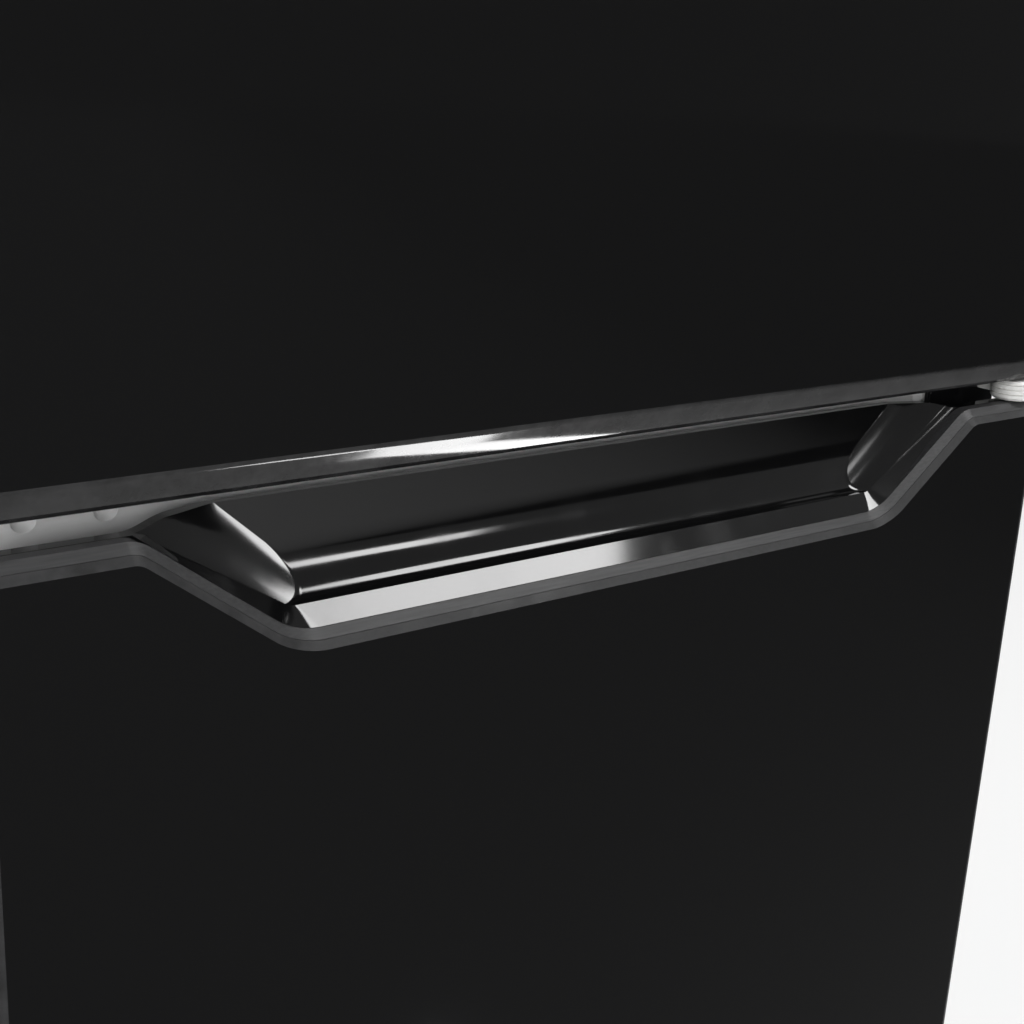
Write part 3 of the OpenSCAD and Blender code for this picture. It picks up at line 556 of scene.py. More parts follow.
FINISHES: dict[str, Finish] = {
    finish.name: finish
    for finish in (
        Glass("black_glass", (0.0072, 0.0072, 0.0074), 0.05, specular=0.012),
        CrossBrushed("edge_metal", (0.029, 0.029, 0.03), 0.4, specular=0.18, marks=0.22),
        Polished("console_backing", (0.006, 0.006, 0.0065), 0.12, specular=0.2),
        Polished("handle_moulding", (0.004, 0.004, 0.0042), 0.07, specular=0.25),
        Painted("light_paint", (0.78, 0.78, 0.78), 0.32),
        Painted("cabinet_paint", (0.055, 0.056, 0.058), 0.5),
        Painted("kick_paint", (0.012, 0.012, 0.012), 0.5),
        Galvanised("galvanised", (0.48, 0.49, 0.5), 0.38, metallic=0.9),
        Painted("drawer_paint", (0.10, 0.10, 0.105), 0.42),
        Painted("channel_paint", (0.06, 0.062, 0.066), 0.4),
        Brushed("ram_steel", (0.56, 0.56, 0.57), 0.28, 1.0, grain=Grain.ALONG_Z, marks=0.08),
        Brushed("machined_steel", (0.44, 0.44, 0.45), 0.24, metallic=1.0),
        Polished("zinc_steel", (0.5, 0.5, 0.49), 0.3, metallic=1.0, wander=0.00004),
        Cast("bronze", (0.55, 0.36, 0.14), 0.35, metallic=1.0, depth=0.00005),
        Cast("cast_pulley", (0.42, 0.42, 0.43), 0.42, metallic=0.9, depth=0.00006),
        Cast("motor_casting", (0.06, 0.06, 0.062), 0.45),
        Brushed("fan_can", (0.48, 0.48, 0.49), 0.32, metallic=1.0),
        Moulded("belt_rubber", (0.014, 0.014, 0.014), 0.62, specular=0.3),
        Moulded("gland_rubber", (0.016, 0.016, 0.016), 0.6, specular=0.3),
        Moulded("white_nylon", (0.78, 0.78, 0.76), 0.38, grain_depth=0.00002),
        Moulded("bin_plastic", (0.16, 0.165, 0.17), 0.45, grain_scale=700),
        Moulded("black_plastic", (0.015, 0.015, 0.016), 0.42),
        Moulded("housing_plastic", (0.05, 0.05, 0.052), 0.5),
        Lacquer("circuit_board", (0.01, 0.09, 0.03), 0.3),
        Cast("ferrite", (0.03, 0.03, 0.032), 0.6),
        Fibrous("charcoal_felt", (0.02, 0.02, 0.02), 0.95, specular=0.2),
        Brushed("button_metal", (0.5, 0.5, 0.51), 0.26, metallic=1.0),
        Polished("lock_chrome", (0.75, 0.75, 0.76), 0.08, metallic=1.0, wander=0.00002),
    )
}


# --------------------------------------------------------------------------- workbench


class Bench:
    """Modelling steps that the sub-assemblies share, done with operators."""

    @staticmethod
    def start(name: str, primitive: Callable[..., Any], **settings: Any) -> bpy.types.Object:
        """Adds a primitive from which a piece is shaped.

        Args:
            name: The piece's name.
            primitive: The operator that adds it.
            settings: The operator's values.

        Returns:
            The piece, with its place in its mesh.
        """
        bpy.ops.object.select_all(action="DESELECT")
        primitive(**settings)
        piece = bpy.context.object
        piece.name = name
        piece.data.name = name
        Bench.hold(piece)
        bpy.ops.object.transform_apply(location=True, rotation=True, scale=True)
        return piece

    @staticmethod
    def hold(piece: bpy.types.Object) -> None:
        """Makes a piece the only selected and the active one."""
        bpy.ops.object.select_all(action="DESELECT")
        piece.select_set(True)
        bpy.context.view_layer.objects.active = piece

    @staticmethod
    def join(piece: bpy.types.Object, other: bpy.types.Object) -> None:
        """Takes another object's mesh into a piece."""
        Bench.hold(piece)
        other.select_set(True)
        bpy.ops.object.join()

    @staticmethod
    def edit(piece: bpy.types.Object, *steps: Callable[[], Any]) -> None:
        """Runs steps in edit mode with the whole mesh selected at first.

        Args:
            piece: The piece to change.
            steps: What is done, in order.
        """
        Bench.hold(piece)
        bpy.ops.object.mode_set(mode="EDIT")
        bpy.ops.mesh.select_all(action="SELECT")
        for step in steps:
            step()
        bpy.ops.object.mode_set(mode="OBJECT")

    @staticmethod
    def pick(piece: bpy.types.Object, test: Callable[[Vector], bool]) -> None:
        """Selects vertices by their place, in edit mode.

        Args:
            piece: The piece in edit mode.
            test: Whether a vertex at this place is selected.
        """
        bpy.ops.mesh.select_all(action="DESELECT")
        bpy.ops.object.mode_set(mode="OBJECT")
        for vertex in piece.data.vertices:
            vertex.select = test(vertex.co)
        bpy.ops.object.mode_set(mode="EDIT")

    @staticmethod
    def modify(piece: bpy.types.Object, kind: str, **settings: Any) -> None:
        """Adds one modifier and applies it.

        Args:
            piece: The piece to change.
            kind: The modifier's type.
            settings: The modifier's properties.
        """
        Bench.hold(piece)
        modifier = piece.modifiers.new(kind.lower(), kind)
        for key, value in settings.items():
            setattr(modifier, key, value)
        bpy.ops.object.modifier_apply(modifier=modifier.name)

    @staticmethod
    def combine(piece: bpy.types.Object, operation: str, other: bpy.types.Object) -> None:
        """Joins, cuts or trims a piece with another one, which is used up."""
        Bench.modify(piece, "BOOLEAN", operation=operation, solver="EXACT", object=other)
        bpy.data.objects.remove(other)

    @staticmethod
    def take(node: str, flat: float = 0.4) -> bpy.types.Object:
        """Copies a CAD node's mesh into a new piece and merges its loose triangles.

        Args:
            node: The CAD node.
            flat: Faces that meet at less than this angle, in degrees, become one.

        Returns:
            The new piece.
        """
        piece = bpy.data.objects.new(node + "_part", NODES[node].data.copy())
        piece.data.name = piece.name
        bpy.context.scene.collection.objects.link(piece)
        Bench.edit(piece, lambda: bpy.ops.mesh.remove_doubles(threshold=WELD))
        Bench.edit(piece, lambda: bpy.ops.mesh.dissolve_limited(angle_limit=math.radians(flat)))
        return piece

    @staticmethod
    def soften(piece: bpy.types.Object, width: float, segments: int = 2, angle: float = 35) -> None:
        """Rounds the sharp edges.

        Args:
            piece: The piece to change.
            width: Width of the rounding in metres.
            segments: Faces across each rounded edge.
            angle: Edges sharper than this, in degrees, are rounded.
        """
        Bench.modify(
            piece,
            "BEVEL",
            width=width,
            segments=segments,
            limit_method="ANGLE",
            angle_limit=math.radians(angle),
            use_clamp_overlap=True,
        )

    @staticmethod
    def smooth(piece: bpy.types.Object, angle: float = 40) -> None:
        """Shades smooth across edges flatter than the angle, with flats kept flat.

        Args:
            piece: The piece to shade.
            angle: The angle in degrees.
        """
        Bench.hold(piece)
        bpy.ops.object.shade_smooth_by_angle(angle=math.radians(angle))
        Bench.modify(piece, "WEIGHTED_NORMAL", keep_sharp=True, weight=80)

    @staticmethod
    def fit(
        piece: bpy.types.Object, slot: str, body: str, replaces: Sequence[str] = ()
    ) -> bpy.types.Object:
        """Dresses a finished piece and hangs it on its body.

        Args:
            piece: The finished piece.
            slot: The material slot it takes its finish from.
            body: The body it rides on.
            replaces: CAD nodes it stands for.

        Returns:
            The piece.
        """
        Bench.dress(piece, slot)
        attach(piece, body)
        if replaces:
            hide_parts(*replaces)
        LOG.info("%s: %d faces on %s", piece.name, len(piece.data.polygons), body)
        return piece

    @staticmethod
    def stand_in(piece: bpy.types.Object, node: str) -> bpy.types.Object:
        """Fits a finished piece in the place of one CAD node."""
        return Bench.fit(piece, SLOT_OF[node], BODY_OF[node], (node,))

    @staticmethod
    def dress(piece: bpy.types.Object, slot: str) -> None:
        """Gives a piece or a CAD node the finish of a material slot."""
        piece.data.materials.clear()
        piece.data.materials.append(FINISHES[slot].material())

    @staticmethod
    def turned(name: str, profile: Profile, centre: Vector, sides: int = 48) -> bpy.types.Object:
        """Turns a solid from rings, by extruding and scaling a disc.

        Args:
            name: The piece's name.
            profile: (radius, height) of each ring in metres, from the bottom up.
            centre: Where height 0 is.
            sides: Faces round the piece.

        Returns:
            The turned piece, closed at both ends.
        """
        radius, height = profile[0]
        piece = Bench.start(
            name,
            bpy.ops.mesh.primitive_circle_add,
            vertices=sides,
            radius=radius,
            fill_type="NGON",
            location=(0, 0, height),
        )
        bpy.ops.object.mode_set(mode="EDIT")
        bpy.ops.mesh.select_mode(type="FACE")
        bpy.ops.mesh.select_all(action="SELECT")
        for (r0, h0), (r1, h1) in zip(profile, profile[1:]):
            bpy.ops.mesh.extrude_region_move(TRANSFORM_OT_translate={"value": (0, 0, h1 - h0)})
            if r1 != r0:
                share = (r1 / r0, r1 / r0, 1)
                bpy.ops.transform.resize(value=share, center_override=(0, 0, h1))
        bpy.ops.mesh.select_all(action="SELECT")
        bpy.ops.mesh.normals_make_consistent(inside=False)
        bpy.ops.object.mode_set(mode="OBJECT")
        piece.data.transform(Matrix.Translation(centre))
        return piece


def joint_travel(name: str) -> float:
    """How far a slide moves, end to end."""
    low, high = next(j["range_m"] for j in frame["joints"] if j["name"] == name)
    return high - low


# --------------------------------------------------------------------------- sub-assemblies


def edges(**widths: float) -> Any:
    """A group's nodes and the width of their rounded edges, given in millimetres."""
    return field(default_factory=lambda: {node: width * MM for node, width in widths.items()})


@dataclass
class Assembly:
    """A group of pieces made from CAD nodes, each with rounded edges and smooth curves."""

    rounding: dict[str, float] = edges()
    plain: tuple[str, ...] = ()

    def build(self) -> None:
        """Builds every piece of the group."""
        for node, width in self.rounding.items():
            self.remake(node, width)
        for node in self.plain:
            Bench.dress(NODES[node], SLOT_OF[node])

    def remake(self, node: str, width: float) -> bpy.types.Object:
        """Replaces a node by a copy with rounded edges.

        Args:
            node: The CAD node.
            width: Width of the rounded edges in metres, 0 for none.

        Returns:
            The new piece.
        """
        piece = Bench.take(node)
        self.carve(node, piece)
        if width:
            Bench.soften(piece, width)
        Bench.smooth(piece)
        return Bench.stand_in(piece, node)

    def carve(self, node: str, piece: bpy.types.Object) -> None:
        """Adds a node's own finer form before its edges are rounded."""

    @staticmethod
    def grind_edges(piece: bpy.types.Object, finish: Finish, face_on: float = 0.985) -> None:
        """Gives a glass panel's rounded and bevelled rim its own finish.

        Args:
            piece: The dressed glass panel, which faces -Y.
            finish: The rim's finish.
            face_on: Faces whose normal is closer than this to -Y stay as they are.
        """
        piece.data.materials.append(finish.material())
        for face in piece.data.polygons:
            face.material_index = 0 if -face.normal.y > face_on else 1


@dataclass
class Console(Assembly):
    """Console glass, its backing, the controls and their housing."""

    rounding: dict[str, float] = edges(
        console_glass=0,
        console_frame=0,
        control_housing=0.4,
        key_knob=0.25,
        start_button=0,
        stop_button=0,
        extra_pack_button=0,
    )
    plain: tuple[str, ...] = ("control_board", "key_switch_body")

    def remake(self, node: str, width: float) -> bpy.types.Object:
        """Also grinds the glass panel's rim.

        Args:
            node: The CAD node.
            width: Width of the rounded edges in metres.

        Returns:
            The new piece.
        """
        piece = super().remake(node, width)
        if node == "console_glass":
            self.grind_edges(piece, POLISHED_EDGE)
        return piece


@dataclass(frozen=True)
class Corner:
    """A corner of an outline seen from the front, and the radius it is rounded to."""

    x: float
    z: float
    radius: float = 0.0


Outline = list[Corner]


def mirrored(right: Outline) -> Outline:
    """An outline's right half, from the bottom up, with the left half that matches it."""
    return right + [Corner(-c.x, c.z, c.radius) for c in reversed(right)]


class Loft:
    """A solid drawn out along Y from an outline whose corners move and tighten at each step."""

    near: float = 1e-5
    lift: float = 10.0

    def __init__(self, name: str, y: float, outline: Outline, segments: int = 8) -> None:
        """Lays the first outline down as one face.

        The corners start on a circle and are lifted clear of it as each takes its place, so that
        none that is already placed is picked again.

        Args:
            name: The piece's name.
            y: Where the first outline is.
            outline: Its corners in order.
            segments: Edges across each rounded corner.
        """
        self.piece = Bench.start(
            name,
            bpy.ops.mesh.primitive_circle_add,
            vertices=len(outline),
            radius=1,
            fill_type="NGON",
            rotation=(math.pi / 2, 0, 0),
            location=(0, y, 0),
        )
        self.y = y
        self.outline = outline
        bpy.ops.object.mode_set(mode="EDIT")
        bpy.ops.mesh.select_mode(type="VERT")
        starts = [v.co.copy() for v in self.piece.data.vertices]
        for start, corner in zip(starts, outline):
            self.pick(lambda co, s=start: (co - s).length < self.near)
            place = (corner.x - start.x, 0, corner.z - start.z + self.lift)
            bpy.ops.transform.translate(value=place)
        self.pick(lambda co: True)
        bpy.ops.transform.translate(value=(0, 0, -self.lift))
        for i, corner in enumerate(outline):
            if corner.radius:
                self.pick(lambda co, c=corner: abs(co.x - c.x) + abs(co.z - c.z) < self.near)
                reach = corner.radius * math.tan(self.turn(i) / 2)
                bpy.ops.mesh.bevel(offset=reach, segments=segments, affect="VERTICES")

    @classmethod
    def through(
        cls, name: str, stations: Sequence[tuple[float, Outline]], segments: int = 8
    ) -> bpy.types.Object:
        """Draws a whole solid through its outlines.

        Args:
            name: The piece's name.
            stations: Each outline with its place on Y, from the front.
            segments: Edges across each rounded corner.

        Returns:
            The finished solid, with its faces outwards.
        """
        loft = cls(name, *stations[0], segments)
        for y, outline in stations[1:]:
            loft.step(y, outline)
        bpy.ops.mesh.select_all(action="SELECT")
        bpy.ops.mesh.normals_make_consistent(inside=False)
        bpy.ops.object.mode_set(mode="OBJECT")
        return loft.piece

    def turn(self, i: int) -> float:
        """Angle by which the outline turns at a corner.

        Args:
            i: The corner's index.

        Returns:
            The angle in radians.
        """
        before, here, after = (self.outline[(i + k) % len(self.outline)] for k in (-1, 0, 1))
        first = Vector((here.x - before.x, here.z - before.z))
        return first.angle(Vector((after.x - here.x, after.z - here.z)))

    def pick(self, test: Callable[[Vector], bool]) -> None:
        """Selects the vertices of the newest outline that pass a test."""
        Bench.pick(self.piece, lambda co: abs(co.y - self.y) < WELD and test(co))

    def step(self, y: float, outline: Outline) -> None:
        """Extrudes the newest outline and moves its corners to their next places.

        Args:
            y: Where the next outline is.
            outline: Its corners, as many as before.
        """
        self.pick(lambda co: True)
        bpy.ops.mesh.extrude_region_move(TRANSFORM_OT_translate={"value": (0, y - self.y, 0)})
        self.y = y
        old = self.outline
        corner_of: dict[tuple[float, ...], int] = {}
        for place in self.places(lambda v: abs(v.co.y - y) < WELD):
            reach = [math.hypot(place[0] - corner.x, place[2] - corner.z) for corner in old]
            corner_of[place] = reach.index(min(reach))
        for i, (was, now) in enumerate(zip(old, outline)):
            if was == now:
                continue
            self.pick(lambda co, k=i: corner_of.get(tuple(co)) == k)
            if was.radius and now.radius != was.radius:
                share = now.radius / was.radius
                centre = (was.x, y, was.z)
                bpy.ops.transform.resize(value=(share, 1, share), center_override=centre)
                corner_of.update(dict.fromkeys(self.places(lambda v: v.select), i))
            bpy.ops.transform.translate(value=(now.x - was.x, 0, now.z - was.z))
            corner_of.update(dict.fromkeys(self.places(lambda v: v.select), i))
        self.outline = outline

    def places(self, test: Callable[[bpy.types.MeshVertex], bool]) -> list[tuple[float, ...]]:
        """Where the vertices that pass a test are now.

        Args:
            test: Whether a vertex counts.

        Returns:
            Their places.
        """
        bpy.ops.object.mode_set(mode="OBJECT")
        found = [tuple(v.co) for v in self.piece.data.vertices if test(v)]
        bpy.ops.object.mode_set(mode="EDIT")
        return found


@dataclass
class DrawerFront(Assembly):
    """Drawer glass, its metal edge and the scooped handle, all following one notched outline.

    Depths are measured back from the glass's face. The handle has a funnel that narrows to a
    crest, a hollow behind the crest, walls round both, and a flange behind the metal frame. The
    walls' half-widths are told from the crest's, at the bottom and at the frame's top edge. A
    cutting solid reaches past what it cuts.
    """

    rounding: dict[str, float] = edges(drawer_pan=0.4)
    play: float = 0.1 * MM
    bevel: float = 4.4 * MM
    side_bevel: float = 1.2 * MM
    glass_share: float = 0.45
    glass_side: float = 1.5 * MM
    frame_side: float = 0.9 * MM
    notch_half: float = 111.25 * MM
    notch_run: float = 40.3 * MM
    notch_h: float = 30 * MM
    notch_r: float = 24 * MM
    shoulder_r: float = 5 * MM
    corner_r: float = 2 * MM
    funnel_low: float = 1.5 * MM
    funnel_high: float = 1.4 * MM
    crest_low: float = 2.2 * MM
    crest_high: float = 2.6 * MM
    crest_d: float = 9 * MM
    crest_h: float = 9.5 * MM
    crest_r: float = 6 * MM
    deep_r: float = 1.5 * MM
    hollow_d: float = 17 * MM
    hollow_close_low: float = 14.6 * MM
    hollow_close_high: float = 25.9 * MM
    hollow_steps: int = 16
    scoop_h: float = 16 * MM
    wall: float = 2.5 * MM
    wall_foot: float = 3 * MM
    wall_mouth: tuple[float, float] = (5 * MM, 7 * MM)
    wall_flange: tuple[float, float] = (3 * MM, 3 * MM)
    wall_neck: tuple[float, float] = (-2 * MM, -10 * MM)
    wall_neck_d: float = 3.2 * MM
    wall_deep: tuple[float, float] = (-12.6 * MM, 2 * MM)
    rim_rise: float = 2 * MM
    rim_sweep: float = 12 * MM
    rim_steps: int = 24
    flange_back: float = 11.8 * MM
    flange_low: float = 3 * MM
    flange_high: float = 8 * MM
    web_d: float = 2.2 * MM
    web_low: float = 10 * MM
    past: float = 1 * MM
    front: float = field(init=False)
    face_half: float = field(init=False)
    bottom: float = field(init=False)
    shoulder: float = field(init=False)
    notch: float = field(init=False)
    frame_d: float = field(init=False)
    glass_d: float = field(init=False)
    pocket_half: float = field(init=False)

    def __post_init__(self) -> None:
        """Takes the places that all pieces share from the nodes' boxes."""
        low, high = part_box("drawer_glass")
        frame_low, frame_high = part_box("drawer_frame")
        self.front = low.y
        self.face_half = frame_high.x - self.bevel
        self.bottom = frame_low.z + self.bevel
        self.shoulder = frame_high.z - self.bevel
        self.notch = self.shoulder - self.notch_h
        self.frame_d = frame_high.y - low.y
        self.glass_d = high.y - low.y
        self.pocket_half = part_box("handle_pocket")[1].x

    def build(self) -> None:
        """Builds the pan from its node and the rest from the notch's outline."""
        super().build()
        self.glass()
        self.frame()
        self.pocket()

    @property
    def mitre(self) -> float:
        """Sideways shift of the notch's corners for each unit of growth."""
        return math.tan(math.atan2(self.notch_h, self.notch_run) / 2)

    @property
    def top_line(self) -> float:
        """Height of the metal frame's shoulders."""
        return self.shoulder + self.bevel

    def panel_outline(self, grow: float, side: float) -> Outline:
        """Outline of the drawer front.

        Args:
            grow: How far it is grown at the top, the bottom and the notch.
            side: How far it is grown at its sides.

        Returns:
            The outline.
        """
        shift = self.mitre * grow
        lower = self.notch_half - shift
        upper = self.notch_half + self.notch_run - shift
        half, top, low = self.face_half + side, self.shoulder + grow, self.bottom - grow
        return mirrored(
            [
                Corner(half, low, self.corner_r),
                Corner(half, top, self.corner_r),
                Corner(upper, top, self.shoulder_r + grow),
                Corner(lower, self.notch + grow, self.notch_r - grow),
            ]
        )

    def panel(self, name: str, rings: Sequence[tuple[float, float, float]]) -> bpy.types.Object:
        """Draws a panel out of the notched outline.

        Args:
            name: The piece's name.
            rings: Depth, growth and growth at the sides of each outline.

        Returns:
            The panel.
        """
        stations = [(self.front + depth, self.panel_outline(*grow)) for depth, *grow in rings]
        return Loft.through(name, stations, 12)

    def glass(self) -> None:
        """Makes the glass with its ground bevel."""
        face, edge = self.side_bevel, self.bevel * self.glass_share
        side = self.bevel - self.glass_side
        rings = [(0, 0, 0), (face, face, side), (edge, edge, side), (self.glass_d, edge, side)]
        glass = self.panel("drawer_glass_part", rings)
        Bench.smooth(glass, 30)
        Bench.stand_in(glass, "drawer_glass")
        self.grind_edges(glass, GROUND_EDGE)

    def frame(self) -> None:
        """Makes the metal frame that carries on the glass's bevel."""
        edge = self.bevel * self.glass_share + self.play
        frame = self.panel(
            "drawer_frame_part",
            [
                (edge, edge, self.bevel - self.frame_side),
                (self.bevel, self.bevel, self.bevel),
                (self.frame_d, self.bevel, self.bevel),
            ],
        )
        seat = (edge - self.play / 2, self.bevel - self.glass_side + self.play)
        cut = self.panel("seat", [(-self.past, *seat), (self.glass_d + self.play, *seat)])
        Bench.combine(frame, "DIFFERENCE", cut)
        Bench.soften(frame, 0.3 * MM)
        Bench.smooth(frame)
        Bench.stand_in(frame, "drawer_frame")

    def scoop_outline(self, low: float, lower: float, upper: float, radius: float) -> Outline:
        """Trapezoid that is open past the frame's top edge.

        Args:
            low: Height of its bottom.
            lower: Half-width of its bottom.
            upper: Half-width at the frame's top edge.
            radius: Radius of its lower corners.

        Returns:
            The outline.
        """
        top = self.shoulder + 20 * MM
        wide = upper + (upper - lower) * (top - self.top_line) / (self.top_line - low)
        floor = [Corner(-lower, low, radius), Corner(lower, low, radius)]
        return [Corner(-wide, top), *floor, Corner(wide, top)]

    def pocket(self) -> None:
        """Moulds the handle: plug, walls and flange, less the funnel and the scooped hollow."""
        piece = self.plug()
        Bench.combine(piece, "UNION", self.walls())
        back_of_frame = self.frame_d + 2 * self.play
        for name, far, bottom, top in (
            (
                "flange",
                self.flange_back,
                self.top_line - self.flange_low,
                self.top_line + self.flange_high,
            ),
            ("web", back_of_frame + self.web_d, self.shoulder - self.web_low, self.top_line),
        ):
            left, right = -self.pocket_half, self.pocket_half
            corners = ((left, bottom), (right, bottom), (right, top), (left, top))
            outline = [Corner(x, z) for x, z in corners]
            strip = [(self.front + back_of_frame, outline), (self.front + far, outline)]
            Bench.combine(piece, "UNION", Loft.through(name, strip))
        Bench.combine(piece, "INTERSECT", self.below_rim())
        Bench.combine(piece, "DIFFERENCE", self.funnel())
        Bench.combine(piece, "DIFFERENCE", self.hollow())
        Bench.edit(piece, lambda: bpy.ops.mesh.remove_doubles(threshold=2 * WELD))
        flat = math.radians(0.05)
        Bench.edit(piece, lambda: bpy.ops.mesh.dissolve_limited(angle_limit=flat))
        Bench.soften(piece, 0.4 * MM, 3)
        Bench.smooth(piece)
        Bench.stand_in(piece, "handle_pocket")

    def plug(self) -> bpy.types.Object:
        """The block that fills the notch behind the bevel.

        Returns:
            The solid.
        """
        inset = self.bevel + self.play
        shift = self.mitre * inset
        run = self.notch_run * (self.notch_h + self.bevel - inset) / self.notch_h
        half = self.notch_half - shift
        upper = self.notch_half + run - shift
        outline = self.scoop_outline(self.notch + inset, half, upper, self.notch_r - inset)
        ends = (self.front + self.bevel, self.front + self.frame_d + self.past)
        return Loft.through("handle_pocket_part", [(y, outline) for y in ends])

    def crest(self) -> tuple[float, float]:
        """Half-widths of the crest at its bottom and at the frame's top edge."""
        return self.notch_half - self.crest_low, self.notch_half + self.notch_run - self.crest_high

    def walls(self) -> bpy.types.Object:
        """The moulding's body round the hollow, as deep as the hollow and its wall.

        Returns:
            The solid.
        """
        low, high = self.crest()
        foot = self.notch - self.wall_foot
        stations = [
            (self.front + depth, self.scoop_outline(foot, low + lower, top + upper, self.crest_r))
            for depth, (lower, upper), top in (
                (self.frame_d + 2 * self.play, self.wall_mouth, high),
                (self.flange_back, self.wall_flange, high),
                (self.flange_back + self.wall_neck_d, self.wall_neck, high),
                (self.hollow_d + self.wall, self.wall_deep, high - self.hollow_close_high),
            )
        ]
        return Loft.through("walls", stations)

    def funnel(self) -> bpy.types.Object:
        """The opening, which narrows from the bevel to the crest.

        Returns:
            The solid to cut away.
        """
        mouth = self.scoop_outline(
            self.notch + (self.bevel + self.play) - self.play / 2,
            self.notch_half - self.funnel_low,
            self.notch_half + self.notch_run - self.funnel_high,
            self.notch_r - self.bevel,
        )
        crest = self.scoop_outline(self.notch + self.crest_h, *self.crest(), self.crest_r)
        mouth_y = self.front + self.bevel - self.play
        return Loft.through("funnel", [(mouth_y, mouth), (self.front + self.crest_d, crest)])

    def below_rim(self) -> bpy.types.Object:
        """Everything below the moulding's top edge, which sweeps up to the rear rim.

        Returns:
            The solid that the moulding is trimmed to.
        """
        outer = self.crest()[1] + 2 * MM
        side = self.pocket_half + self.past
        right = [Corner(side, self.notch - 20 * MM), Corner(side, self.top_line)]
        for i in range(self.rim_steps + 1):
            rise = self.rim_rise * (1 - math.cos(math.pi * i / self.rim_steps)) / 2
            x = outer - self.rim_sweep * i / self.rim_steps
            right.append(Corner(x, self.top_line + rise))
        ends = (self.front + self.past, self.front + self.hollow_d + self.wall + self.past)
        return Loft.through("rim", [(y, mirrored(right)) for y in ends])

    def hollow(self) -> bpy.types.Object:
        """The finger hollow: its floor sweeps up to the back wall and its ends close in.

        Returns:
            The solid to cut away.
        """
        stations = [(self.front + self.crest_d - self.play / 2, self.hollow_outline(0))]
        for i in range(1, self.hollow_steps + 1):
            u = math.sin(math.pi / 2 * i / self.hollow_steps)
            y = self.front + self.crest_d + (self.hollow_d - self.crest_d) * u
            stations.append((y, self.hollow_outline(u)))
        return Loft.through("hollow", stations)

    def hollow_outline(self, u: float) -> Outline:
        """Outline of the hollow.

        Args:
            u: Share of the way from the crest to the back wall.

        Returns:
            The outline.
        """
        crest_low, crest_high = self.crest()
        rise = self.scoop_h * (1 - math.sqrt(max(0, 1 - u * u)))
        lower = crest_low - self.hollow_close_low * u
        upper = crest_high - self.hollow_close_high * (1.75 * u - 1.5 * u**2 + 0.75 * u**3)
        share = rise / (self.notch_h + self.bevel - self.crest_h)
        return self.scoop_outline(
            self.notch + self.crest_h + rise,
            lower + (upper - lower) * share,
            upper,
            self.crest_r + (self.deep_r - self.crest_r) * u,
        )


